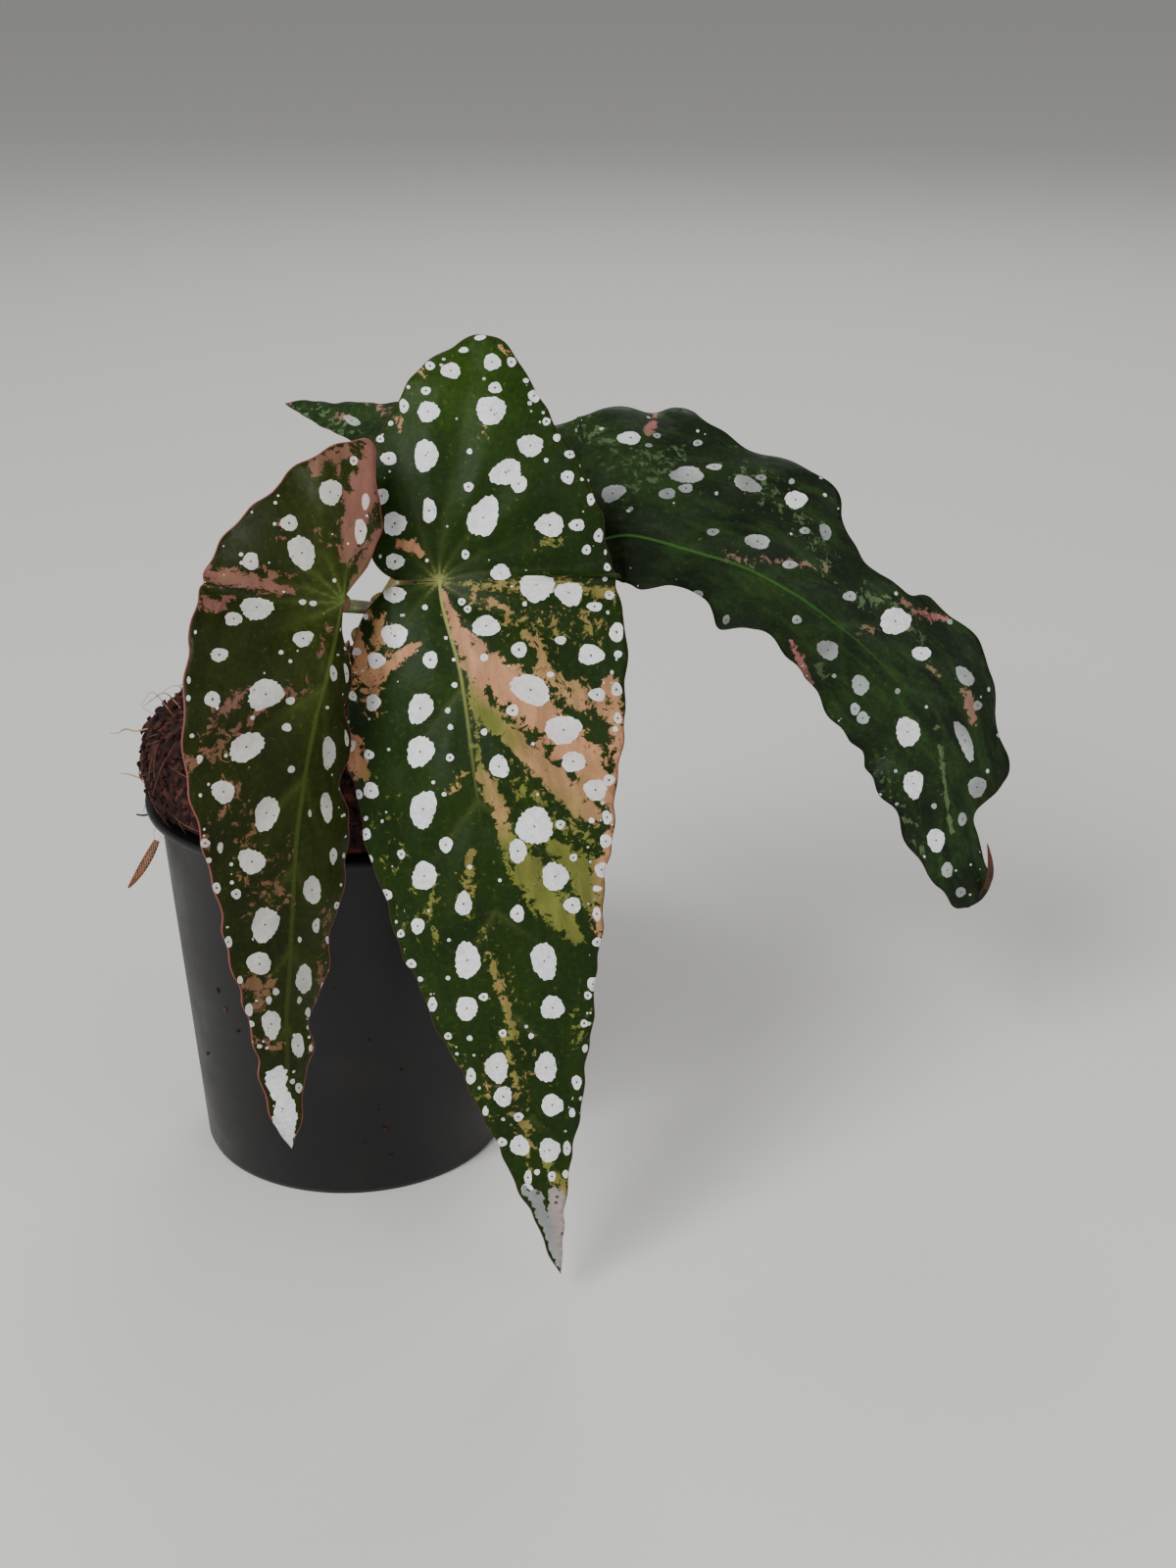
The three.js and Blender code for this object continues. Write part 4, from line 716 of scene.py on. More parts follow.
def distances(points, a, b):
    """Distance from each point to the segment a-b, and how far along it the nearest place is."""
    run = b - a
    t = np.clip(((points - a) @ run) / (run @ run), 0, 1)
    return np.hypot(*(points - a - t[:, None] * run).T), t


def inside(points, loop):
    """Which points lie inside a closed loop."""
    result = np.zeros(len(points), bool)
    x, y = points.T
    for (ax, ay), (bx, by) in zip(loop, np.roll(loop, -1, axis=0)):
        crosses = (ay > y) != (by > y)
        result ^= crosses & (x < (bx - ax) * (y - ay) / (by - ay + 1e-12) + ax)
    return result


class Blade:
    """One leaf's blade: its surface over (u, v), its margin and its veins, as in the CAD solids."""

    def __init__(self, shape, foliage):
        self.shape, self.foliage = shape, foliage
        self.rows = np.array(shape["spine"], float)
        run = run_along(self.rows[:, :3])
        self.at = run - run[shape["stalk_row"]]
        last = len(self.rows) - 1
        before = np.maximum(np.arange(last + 1) - 1, 0)
        after = np.minimum(np.arange(last + 1) + 1, last)
        self.slopes = (self.rows[after] - self.rows[before]) / (self.at[after] - self.at[before])[:, None]
        self.length = shape["from_tip"][0][0]
        self.trace_margin()
        self.trace_veins()

    def trace_margin(self, spacing=0.9):
        """The blade's edge in (u, v), scalloped and slightly nibbled, and how far along it each point is."""
        shape = self.shape
        halves = [curve_through(shape[k], spacing) for k in ("to_tip", "from_tip")]
        line = np.vstack([halves[0], halves[1][1:]])
        run = run_along(line)
        tip = run[len(halves[0]) - 1]
        fade = np.clip(np.minimum(np.minimum(run, run[-1] - run), abs(run - tip)) / 12, 0, 1)
        along = unit(np.gradient(line, axis=0))
        scallop = fade * shape["scallop"] * np.sin(2 * math.pi * run / shape["scallop_length"])
        nibble = 0.16 * np.array([noise.noise(Vector((s / 3.1, 0.3, self.at[0]))) for s in run])
        outward = np.stack([-along[:, 1], along[:, 0]], -1)
        self.margin = line + outward * (scallop * shape["broad"] + fade * nibble)[:, None]
        self.margin_run = run
        self.outline = np.vstack([self.margin, [[0, 0]]])

    def meet_margin(self, start, angle):
        """Where a vein from (start, 0) on the midrib meets the margin."""
        direction = np.array([math.cos(angle), math.sin(angle) * self.shape["broad"]])
        best = None
        for a, b in zip(self.margin, self.margin[1:]):
            edge = b - a
            cross = direction[0] * edge[1] - direction[1] * edge[0]
            if abs(cross) < 1e-9:
                continue
            reach = ((a[0] - start) * edge[1] - a[1] * edge[0]) / cross
            t = ((a[0] - start) * direction[1] - a[1] * direction[0]) / cross
            if reach > 0.01 and -1e-6 <= t <= 1 + 1e-6 and (best is None or reach < best):
                best = reach
        return np.array([start, 0]) + direction * best

    def trace_veins(self):
        """Side veins along the midrib, and palmate ones from the stalk, as pairs of ends."""
        shape = self.shape
        cleft = [self.margin[0], self.margin[-1]]
        turn = [math.atan2(p[1] * shape["broad"], p[0]) for p in cleft]
        edges = {1: turn[0] + 2 * math.pi, -1: turn[1]}
        self.veins = []
        for sign in (1, -1):
            first, last = (math.radians(a) for a in shape["slant"][sign])
            count = shape["palmate"][sign]
            for i in range(1, count):
                if (count - i) % RIB_EVERY == 0:
                    angle = edges[sign] + (sign * first - edges[sign]) * i / count
                    self.veins.append((np.zeros(2), self.meet_margin(0, angle)))
            for s in range(0, STATIONS, RIB_EVERY):
                start = self.length * s / STATIONS
                angle = sign * (first + (last - first) * s / STATIONS)
                self.veins.append((np.array([start, 0]), self.meet_margin(start, angle)))

    def smooth_surface(self, uv):
        """Points on the smooth blade, and the directions out of its upper face."""
        u, v = uv.T
        i = np.clip(np.searchsorted(self.at, u) - 1, 0, len(self.at) - 2)
        h = (self.at[i + 1] - self.at[i])[:, None]
        t = np.clip((u - self.at[i])[:, None] / h, 0, 1)
        a, b, sa, sb = self.rows[i], self.rows[i + 1], self.slopes[i] * h, self.slopes[i + 1] * h
        slope = (a * (6 * t * t - 6 * t) + sa * (3 * t * t - 4 * t + 1)
                 + b * (6 * t - 6 * t * t) + sb * (3 * t * t - 2 * t)) / h
        value = hermite(a, sa, b, sb, t) + slope * (u - np.clip(u, self.at[0], self.at[-1]))[:, None]
        along = unit(slope[:, :3])
        across = value[:, 3:6]
        across = unit(across - along * (across * along).sum(-1, keepdims=True))
        up = np.cross(along, across)
        side, width = np.where(v < 0, -1, 1), abs(v)
        fold = np.where(v < 0, value[:, 6], value[:, 7])
        arch = np.where(v < 0, value[:, 8], value[:, 9])
        mean = np.radians(fold + arch * width / 2)
        local = np.radians(fold + arch * width) * np.minimum(1, width / 2)
        points = (value[:, :3] + across * (side * width * np.cos(mean))[:, None]
                  + up * (width * np.sin(mean))[:, None])
        normals = unit(up * np.cos(local)[:, None] - across * (side * np.sin(local))[:, None])
        return points, normals

    def measures(self, uv):
        """Distance to the margin and along it, to the midrib, and to the nearest vein and along that."""
        edge, edge_run = np.full(len(uv), 1e9), np.zeros(len(uv))
        for k in range(len(self.margin) - 1):
            d, t = distances(uv, self.margin[k], self.margin[k + 1])
            closer = d < edge
            edge[closer] = d[closer]
            start, end = self.margin_run[k:k + 2]
            edge_run[closer] = (start + t * (end - start))[closer]
        vein, vein_run = np.full(len(uv), 1e9), np.zeros(len(uv))
        for a, b in self.veins:
            d, t = distances(uv, a, b)
            closer = d < vein
            vein[closer], vein_run[closer] = d[closer], t[closer]
        u, v = uv.T
        midrib = np.where(u < 0, np.hypot(u, v), abs(v))
        return edge, edge_run, midrib, vein, vein_run

    def relief(self, uv, measures):
        """How the blade departs from its smooth form, and its thickness, in millimetres."""
        edge, edge_run, midrib, vein, vein_run = measures
        foliage, shape = self.foliage, self.shape
        waved, bevel = 13, 2  # width of the waved border, and of its thinner edge
        furrow, midrib_width, vein_width = 4.5, 1.5, 1.3
        dimple_depth, dimple_radius, pucker_height, pucker_length = 2.2, 8, 0.5, 9
        within = np.clip(edge / waved, 0, 1)
        wave = shape["wave"] * (1 - within) ** 2 * np.sin(2 * math.pi * edge_run / shape["wave_length"])
        quilt = foliage.quilting / MM * within * (1 - bell(np.minimum(vein, midrib), furrow))
        dimple = dimple_depth * bell(np.hypot(*uv.T), dimple_radius)
        pucker = pucker_height * np.array([
            noise.noise(Vector((u / pucker_length, v / pucker_length, self.at[0]))) for u, v in uv])
        rise = 1 - 0.8 * np.clip(uv[:, 0] / self.length, 0, 1)
        rib = np.maximum(foliage.midrib / MM * bell(midrib, midrib_width) * rise,
                         foliage.vein / MM * bell(vein, vein_width) * (1 - vein_run))
        thin = foliage.thickness / MM * (0.55 + 0.45 * np.clip(edge / bevel, 0, 1))
        return quilt + wave - dimple + pucker * np.clip(edge / 4, 0.2, 1), thin + rib

    def place_of(self, x, y):
        """The (u, v) seen at a place in the picture, and how (u, v) changes with it."""
        if not hasattr(self, "seeds"):
            low, high = self.margin.min(0), self.margin.max(0)
            grid = np.stack(np.meshgrid(np.arange(low[0], high[0], 3), np.arange(low[1], high[1], 3)), -1)
            grid = grid.reshape(-1, 2)
            self.seeds = grid[inside(grid, self.outline)]
            self.seed_places = in_picture(self.smooth_surface(self.seeds)[0])
        target = np.array([x, y], float)
        uv = self.seeds[np.argmin(((self.seed_places - target) ** 2).sum(1))].copy()
        for _ in range(8):
            three = in_picture(self.smooth_surface(np.array([uv, uv + (0.2, 0), uv + (0, 0.2)]))[0])
            change = np.stack([three[1] - three[0], three[2] - three[0]], 1) / 0.2
            back = np.linalg.pinv(change)
            uv = uv + np.clip(back @ (target - three[0]), -4, 4)
        return uv, back


def turned(x, y, angle):
    """The point (x, y) turned about the origin."""
    return np.array([x * math.cos(angle) - y * math.sin(angle), x * math.sin(angle) + y * math.cos(angle)])


def spot_outlines(blade, spots, dice):
    """Each silver spot as a closed, slightly jagged loop in (u, v)."""
    fewest, most = 7, 40  # corners
    loops = []
    for x, y, across, *rest in spots:
        high = rest[0] if rest else across
        tilt = math.radians(rest[1]) if len(rest) > 1 else 0
        centre, back = blade.place_of(x, y)
        count = int(min(most, max(fewest, (across + high) * 1.45)))
        start, wobble = dice.uniform(0, 6.28), dice.uniform(0, 6.28)
        loop = []
        for i in range(count):
            angle = start + 2 * math.pi * i / count
            size = 1 + 0.06 * math.sin(3 * angle + wobble) + dice.uniform(-JAG, JAG)
            place = turned(across * size * math.cos(angle), high * size * math.sin(angle), -tilt)
            loop.append(centre + back @ place)
        loops.append(np.array(loop))
    return loops


def hidden_spots(blade, hidden, loops, dice):
    """Spots where the picture shows none of the blade, as loops in (u, v), clear of the given loops."""
    gap, border, sides = 3.4, 0.6, 14
    low, high = blade.margin.min(0), blade.margin.max(0)
    taken = [(loop.mean(0), np.ptp(loop, axis=0).max() / 2) for loop in loops]
    extra = []
    for _ in range(1500):
        centre = np.array([dice.uniform(low[0], high[0]), dice.uniform(low[1], high[1])])
        size = dice.choice([0.5, 0.7, 1.6, 2.4, 3.2])
        if not hidden(*centre) or not inside(centre[None], blade.outline)[0]:
            continue
        if any(np.hypot(*(centre - c)) < size + r + gap for c, r in taken):
            continue
        edge = min(distances(centre[None], a, b)[0][0] for a, b in zip(blade.margin[::4], blade.margin[4::4]))
        if edge < size + border:
            continue
        stretch, turn = dice.uniform(1, 1.35), dice.uniform(0, 3.14)
        loop = []
        for i in range(sides):
            angle = 2 * math.pi * i / sides
            r = size * (1 + dice.uniform(-JAG, JAG))
            loop.append(centre + turned(r * stretch * math.cos(angle), r * math.sin(angle), turn))
        extra.append(np.array(loop))
        taken.append((centre, size))
    return extra


def triangulate(blade, loops, pores, spacing):
    """Triangles over the blade, with edges along its margin and the spots, and points along its veins. They
    are finer within the junction, the millimetres around the top of the stalk."""
    junction, fine_spacing = 7, 0.5
    chains = [(blade.outline, True), (pores, False)] + [(loop, True) for loop in loops]
    for a, b in blade.veins + [(np.zeros(2), np.array([blade.length, 0]))]:
        count = max(2, int(np.hypot(*(b - a)) / spacing * 1.4))
        chains.append((a + (b - a) * np.linspace(0.01, 0.97, count)[:, None], False))
    fixed = np.vstack([chain for chain, _ in chains])
    edges, start = [], 0
    for chain, closed in chains:
        count = len(chain)
        if closed:
            edges += [(start + i, start + (i + 1) % count) for i in range(count)]
        start += count
    low, high = blade.margin.min(0), blade.margin.max(0)
    lattice = []
    for row, v in enumerate(np.arange(low[1], high[1], spacing * 0.866)):
        us = np.arange(low[0] + (row % 2) * spacing / 2, high[0], spacing)
        lattice.append(np.stack([us, np.full(len(us), v)], -1))
    lattice = np.vstack(lattice)
    steps = np.arange(-junction, junction, fine_spacing)
    fine = np.stack(np.meshgrid(steps, steps), -1).reshape(-1, 2)
    far = np.hypot(*lattice.T) > junction + fine_spacing
    lattice = np.vstack([lattice[far], fine[np.hypot(*fine.T) <= junction]])
    lattice = lattice[inside(lattice, blade.outline)]
    keep = np.ones(len(lattice), bool)
    for k in range(0, len(fixed), 64):
        away = np.hypot(*(lattice[:, None] - fixed[None, k:k + 64]).transpose(2, 0, 1))
        keep &= away.min(1) > np.where(np.hypot(*lattice.T) < junction + 0.2, fine_spacing / 2, spacing / 2)
    points = np.vstack([fixed, lattice[keep]])
    out = geometry.delaunay_2d_cdt([Vector(p) for p in points], edges, [], 0, 1e-5)
    uv = np.array([tuple(p) for p in out[0]])
    triangles = np.array([f for f in out[2] if len(f) == 3])
    centres = uv[triangles].mean(1)
    triangles = triangles[inside(centres, blade.outline)]
    a, b, c = (uv[triangles[:, i]] for i in range(3))
    area = (b[:, 0] - a[:, 0]) * (c[:, 1] - a[:, 1]) - (b[:, 1] - a[:, 1]) * (c[:, 0] - a[:, 0])
    triangles[area < 0] = triangles[area < 0][:, ::-1]
    triangles = triangles[abs(area) > 1e-7]
    used = np.unique(triangles)
    renumber = np.full(len(uv), -1)
    renumber[used] = np.arange(len(used))
    return uv[used], renumber[triangles]


def paint_sectors(places, strokes):
    """Strength and warmth of the variegation at places in the picture."""
    zone, blush = np.full(len(places), -0.12), np.full(len(places), 0.3)
    weight = np.full(len(places), 1e-6)
    for strength, warm, stops in strokes:
        best = np.zeros(len(places))
        for (ax, ay, ar), (bx, by, br) in zip(stops, stops[1:]):
            a, b = np.array([ax, ay], float), np.array([bx, by + 0.01], float)
            d, t = distances(places, a, b)
            best = np.maximum(best, np.clip(1.2 - d / (ar + (br - ar) * t) * 0.7, 0, 1))
        zone = np.maximum(zone, strength * best - 0.12 * (1 - best))
        blush += best * warm
        weight += best
    seen = weight > 1e-3
    blush[seen] = ((blush - 0.3) / weight)[seen]
    return zone, blush


def leaf_piece(name, shape, settings, materials):
    """A leaf's blade as one closed mesh: upper face with its spots, underside with its veins, and rim."""
    blade = Blade(shape, settings)
    dice = random.Random(name)
    loops = spot_outlines(blade, SPOTS[name], dice)
    loops += hidden_spots(blade, HIDDEN[name], loops, dice)
    special = {i for i, spot in enumerate(SPOTS[name]) if spot[:2] in BRIGHT_SPOTS}
    if name in SILVER_TIPS:
        corners = np.array([blade.place_of(x, y)[0] for x, y in SILVER_TIPS[name]])
        tip, step, jag = [], 0.7, 0.38
        for a, b in zip(corners, np.roll(corners, -1, axis=0)):
            for t in np.arange(0, 1, 1 / max(1, round(np.hypot(*(b - a)) / step))):
                tip.append(a + (b - a) * t + np.array([dice.uniform(-jag, jag) for _ in range(2)]))
        special.add(len(loops))
        loops.append(np.array(tip))
    pores = np.array([loop.mean(0) for loop in loops if np.ptp(loop, axis=0).min() > 1.7])
    uv, triangles = triangulate(blade, loops, pores, settings.lattice / MM)
    pore = np.hypot(*(uv[:, None] - pores[None]).transpose(2, 0, 1)).min(1)
    measures = blade.measures(uv)
    lift, thickness = blade.relief(uv, measures)
    smooth, normals = blade.smooth_surface(uv)
    upper = smooth + normals * lift[:, None]
    lower = upper - normals * thickness[:, None]
    count = len(uv)
    centres = uv[triangles].mean(1)
    kinds = np.zeros(len(triangles), int)  # places in materials
    for i, loop in enumerate(loops):
        near = np.flatnonzero((abs(centres - loop.mean(0)) < np.ptp(loop, axis=0) + 0.5).all(1))
        kinds[near[inside(centres[near], loop)]] = 4 if i in special else 1
    half_edges = dict.fromkeys((tri[i - 1], tri[i]) for tri in triangles.tolist() for i in (1, 2, 0))
    rim = [(a, b) for a, b in half_edges if (b, a) not in half_edges]
    faces = triangles.tolist() + (triangles[:, ::-1] + count).tolist() + [
        (b, a, a + count, b + count) for a, b in rim]
    kinds = np.concatenate([kinds, np.full(len(triangles), 2), np.full(len(rim), 3)])
    edge, _, _, vein, vein_run = measures
    places = in_picture(upper)
    zone, blush = paint_sectors(places, STROKES[name])
    middle, side, side_width, reach, junction, ray_reach = VEIN_SHOW[name]
    from_stalk = np.hypot(*uv.T)
    rib = side * bell(vein, side_width) * np.clip(1 - vein_run * 1.4, 0, 1) ** 1.5
    rays = np.maximum(bell(from_stalk, 0.8), bell(vein, 0.25) * bell(from_stalk, ray_reach))
    along = middle * np.clip(1.1 - uv[:, 0] / reach, 0, 1) * (uv[:, 0] > -0.5)
    values = {"blade_mm": np.c_[uv, np.zeros(count)], "edge_mm": edge,
              "rib": np.clip(np.maximum(rib, junction * rays), 0, 1), "midrib": np.clip(along, 0, 1),
              "variegation": zone, "blush": blush, "pore_mm": pore,
              "youth": np.clip(YOUTH[name](*places.T), 0, 1)}
    values = {key: np.concatenate([data, data]) for key, data in values.items()}
    return mesh_piece(f"leaf_{name}", np.vstack([upper, lower]), faces, materials, kinds, values)


# Where the picture doesn't show a blade, in its own (u, v).
HIDDEN = {
    "front": lambda u, v: False,
    "left": lambda u, v: False,
    "right": lambda u, v: u < -3 or (u < 12 and v > 6 and u < 12 - v * 0.4),
    "back": lambda u, v: u < 30,
}
# How the veins show on the upper face: strength of the midrib and of the side veins, the side veins' width,
# how far the midrib shows, and strength and reach of the pale rays from the stalk's end.
VEIN_SHOW = {
    "front": (0.9, 0.1, 0.6, 50, 0.75, 3.2),
    "left": (0.42, 0.26, 0.9, 150, 0.8, 8),
    "right": (0.9, 0.12, 0.6, 90, 0.4, 3),
    "back": (0.3, 0.2, 0.8, 60, 0.5, 3),
}
# How fresh the green is at a place in the picture.
YOUTH = {
    "front": lambda x, y: 0.9 * bell(np.hypot((x - 470) / 1.1, y - 380), 75),
    "left": lambda x, y: 0.08 + 0.5 * bell(abs(x - 325) + 0 * y, 28),
    "right": lambda x, y: (0.75 * bell(np.hypot(x - 640, (y - 480) * 1.2), 50)
                           + 0.3 * bell(y - x * 0.9 + 90, 40)),
    "back": lambda x, y: 0.4 + 0 * x,
}


class BEGONIA_OT_leaves(bpy.types.Operator):
    """Make the four leaf blades with their spots, sectors, veins and waved edges"""
    bl_idname = "begonia.leaves"
    bl_label = "Leaves"

    def execute(self, context):
        foliage, tint = context.scene.begonia_foliage, context.scene.begonia_colours
        # how bright the dullest spots are, and the pores' size in cells
        silver = silver_spot("silver_spot", tint.silver, 0.9, 0.07)
        dull = silver_spot("dull_silver_spot", tint.dull_silver, 0.55, 0.07)
        hazy = silver_spot("hazy_silver_spot", "#c0bdb5", 0.85, 0.07)
        mottled = silver_spot("mottled_silver_tip", "#858987", 0.85, 0.2)
        below = leaf_underside("burgundy_underside", tint.underside)
        # lamina, fresh lamina, cream and warm sectors, veins and their width in mm, share of specks by the
        # edge, strength of the streaks, margin and its width in mm, spots, and the spots of the tip or the
        # bright ones
        looks = {
            "front": (tint.front_green, tint.front_fresh, tint.cream, tint.peach, "#8c8f52", 0.5, 0.38,
                      0.25, tint.front_margin, 0.3, silver, mottled),
            "left": (tint.left_green, tint.left_fresh, "#6b5534", tint.pink, "#58682a", 0.8, 0.38,
                     0.25, tint.left_margin, 0.35, hazy, silver),
            "right": (tint.right_green, tint.right_fresh, "#4c5c3c", tint.flushed, "#3c6a28", 0.45, 0.16,
                      0.8, tint.right_margin, 0.3, dull, silver),
            "back": (tint.right_green, tint.right_fresh, "#4c6640", tint.flushed, "#48562c", 0.5, 0.05,
                     0.6, tint.right_margin, 0.3, dull, dull),
        }
        for name, shape in LEAVES.items():
            *lamina, margin, width, spot, tip = looks[name]
            upper = leaf_lamina(f"lamina_{name}", *lamina, margin, width)
            rim = leaf_underside(f"margin_{name}", margin)
            piece = leaf_piece(name, shape, foliage, [upper, spot, below, rim, tip])
            seat(piece, f"leaf_{name}", f"leaf_{name}")
        return {"FINISHED"}


# ------------------------------------------------------------------ pot, mix, cane, stalks and dry bits
def lathe(profile, sides, skip=lambda ring, side: False):
    """Points and faces of a turned form from (radius, height) stations. skip leaves faces out."""
    turns = np.linspace(0, 2 * math.pi, sides, endpoint=False)
    points = np.vstack([np.c_[r * np.cos(turns), r * np.sin(turns), np.full(sides, z)] for r, z in profile])
    faces = []
    for ring in range(len(profile) - 1):
        for i in range(sides):
            if not skip(ring, i):
                a, b = ring * sides + i, ring * sides + (i + 1) % sides
                faces.append((a, b, b + sides, a + sides))
    return points, faces


class BEGONIA_OT_pot(bpy.types.Operator):
    """Make the nursery pot with its thin lip, tapered wall, floor and drain slots"""
    bl_idname = "begonia.pot"
    bl_label = "Pot"

    def execute(self, context):
        form, sides, drains = POT_FORM, 144, 6
        top, foot = form["height"], form["height"] - form["lip_height"]
        base, wall_top, lip, wall = form["base"], form["wall_top"], form["lip"], form["wall"]
        middle, slot_in, slot_out = 8, 26.5, 35.5  # the floor's rings
        outer = [(middle, 0), (slot_in, 0), (slot_out, 0), (base - 1.5, 0), (base - 0.5, 0.3), (base, 1.5)]
        outer += [(base + (wall_top - base) * t, 1.5 + (foot - 1.5) * t) for t in (0.25, 0.5, 0.75, 0.985)]
        outer += [(wall_top + 0.25, foot - 0.3), (wall_top + 0.7, foot)]
        outer += [(lip - 0.6, foot), (lip - 0.15, foot + 0.15), (lip, foot + 0.6), (lip, top - 0.7),
                  (lip - 0.2, top - 0.2), (lip - 0.8, top), (wall_top - wall + 0.8, top),
                  (wall_top - wall + 0.2, top - 0.2), (wall_top - wall, top - 0.8)]
        inner = [(wall_top - wall, foot), (base - wall, form["floor"] + 1), (base - wall - 1, form["floor"]),
                 (slot_out, form["floor"]), (slot_in, form["floor"]), (middle, form["floor"])]
        profile = outer + inner
        low, high = 1, len(profile) - 3  # the open rings below and above a slot
        width = 2  # half the slot's width in faces
        centre = [int(sides * (i + 0.5) / drains) for i in range(drains)]

        def in_slot(ring, side):
            return ring in (low, high) and any(-width <= side - c < width for c in centre)

        points, faces = lathe(profile, sides, in_slot)
        faces.append(tuple(range(sides - 1, -1, -1)))
        faces.append(tuple(range(len(points) - sides, len(points))))
        for c in centre:
            for i in range(c - width, c + width):
                a, b = i % sides, (i + 1) % sides
                faces.append((low * sides + a, (high + 1) * sides + a,
                              (high + 1) * sides + b, low * sides + b))
                faces.append(((low + 1) * sides + b, high * sides + b,
                              high * sides + a, (low + 1) * sides + a))
            for i, order in ((c - width, 1), (c + width, -1)):
                side = i % sides
                faces.append((low * sides + side, (low + 1) * sides + side, high * sides + side,
                              (high + 1) * sides + side)[::order])
        made = moulded_polypropylene("moulded_polypropylene", context.scene.begonia_colours.pot)
        seat(mesh_piece("pot", points, faces, [made]), "pot", "pot")
        return {"FINISHED"}


def crumb(dice, size, flat):
    """An irregular lump, squashed and turned at random."""
    ball = bmesh.new()
    bmesh.ops.create_icosphere(ball, subdivisions=1, radius=1)
    points = np.array([v.co[:] for v in ball.verts])
    faces = [tuple(v.index for v in f.verts) for f in ball.faces]
    ball.free()
    points *= np.array([[dice.uniform(0.7, 1.3)] for _ in points])
    points *= size * np.array([dice.uniform(0.8, 1.5), dice.uniform(0.6, 1), flat])
    around = dice.uniform(0, 2 * math.pi)
    dice.random()  # keeps the order of the later draws
    turn = np.array([[math.cos(around), -math.sin(around), 0], [math.sin(around), math.cos(around), 0],
                     [0, 0, 1]])
    tilt = dice.uniform(-0.5, 0.5)
    tip = np.array([[1, 0, 0], [0, math.cos(tilt), -math.sin(tilt)], [0, math.sin(tilt), math.cos(tilt)]])
    return points @ tip.T @ turn.T, faces


def onto(points, centre, normal):
    """Points turned from z-up to stand on a surface there."""
    side = unit(np.cross(normal, [0.3, 0.7, 0.65]))
    return centre + points @ np.stack([side, np.cross(normal, side), normal])


class BEGONIA_OT_growing_mix(bpy.types.Operator):
    """Make the heaped coir and bark with its crumbs, flakes and fibres"""
    bl_idname = "begonia.growing_mix"
    bl_label = "Growing mix"

    def execute(self, context):
        dice = random.Random(11)
        heap = curve_through(MIX_PROFILE, 1.1)
        sides, settle = 230, 1.5  # settle: how far relief sinks the surface on the whole
        rim, crown = 97.2, 114  # the heights where relief starts and where it grows
        points, faces = lathe([(37, 2.2), (38, 5)] + heap.tolist(), sides)
        rings = len(heap)
        slope = np.gradient(heap, axis=0)
        out = unit(np.c_[slope[:, 1], -slope[:, 0]])
        surface = []
        for ring in range(rings):
            loose = min(1, max(0, (heap[ring, 1] - rim) / 2)) * min(1, heap[ring, 0] / 6)
            for i in range(sides):
                k = (ring + 2) * sides + i
                point = points[k]
                turn = math.atan2(point[1], point[0])
                level, up = out[ring]
                normal = np.array([level * math.cos(turn), level * math.sin(turn), up])
                lump = 0.8 - noise.voronoi(Vector(point * 0.5))[0][0]
                heave = noise.fractal(Vector(point * 0.09), 0.8, 2, 4)
                top = min(1, max(0, (point[2] - crown) / 5))
                points[k] = point + normal * loose * (1.5 * lump + (0.8 + 1.2 * top) * heave - settle)
                if loose > 0.8:
                    surface.append((points[k], normal))
        cap = [tuple(range(sides - 1, -1, -1)), tuple(range((rings + 1) * sides, (rings + 2) * sides))]
        parts = [(points, faces + cap)]
        weights = [max(0.05, math.hypot(*p[:2])) for p, _ in surface]
        # crumbs, lumps and flakes: size, flatness and how many
        for size, flat, count in ((0.7, 0.8, 1300), (1.1, 0.65, 500), (2.3, 0.3, 70)):
            for centre, normal in dice.choices(surface, weights, k=count):
                lump, lump_faces = crumb(dice, size * dice.uniform(0.7, 1.3), flat)
                leaning = unit(normal + np.array([dice.uniform(-0.6, 0.6) for _ in range(3)]))
                parts.append((onto(lump, centre + normal * 0.1, leaning), lump_faces))
        tint = context.scene.begonia_colours.mix
        made = coir_and_bark("coir_and_bark", tint, "#0c0404", "#5c3226")
        mix = mesh_piece("growing_mix", *join(parts), [made])
        seat(mix, "growing_mix", "growing_mix")
        strands = []
        for centre, normal in dice.choices(surface, weights, k=120):
            heading = unit(np.cross(normal, [dice.uniform(-1, 1) for _ in range(3)]))
            side, length = np.cross(normal, heading), dice.uniform(5, 15)
            bow, lift = dice.uniform(-0.3, 0.3), dice.uniform(0.1, 0.25)
            steps = np.linspace(0, 1, 9)
            path = [centre + heading * length * (t - 0.5) + side * bow * length * (t - 0.5) ** 2
                    + normal * (0.5 + lift * length * (0.25 - (t - 0.5) ** 2)
                                - length * length * 0.004 * abs(t - 0.5))
                    for t in steps]
            strands.append(sweep(path, np.interp(steps, [0, 0.5, 1], [0.08, 0.17, 0.08]), 5))
        made = dry_plant_fibre("coir_fibre", "#5a3526", "#26120d")
        seat(mesh_piece("coir_fibres", *join(strands), [made]), "growing_mix")
        return {"FINISHED"}


def cane_line():
    """The cane's axis, from inside the mix to its growing tip."""
    return curve_through(CANE_PATH, 0.7)


def cane_radius(z, share):
    """The cane's radius at a height, and how far along it that is from 0 to 1."""
    thick, thin, foot, rise = 3.8, 1.9, 112, 62  # radii, and the heights that they taper over
    taper = thick + (thin - thick) * np.clip((z - foot) / rise, 0, 1)
    # a swelling at each node and a fine ring above it, and a growing tip that narrows
    swelling = sum(0.6 * bell(z - node, 2) + 0.22 * bell(z - node - 2.6, 0.5) for node in CANE_NODES)
    return (taper + swelling * np.clip((z - 122.5) / 1.5, 0, 1)) * np.clip((1 - share) / 0.12, 0.12, 1)


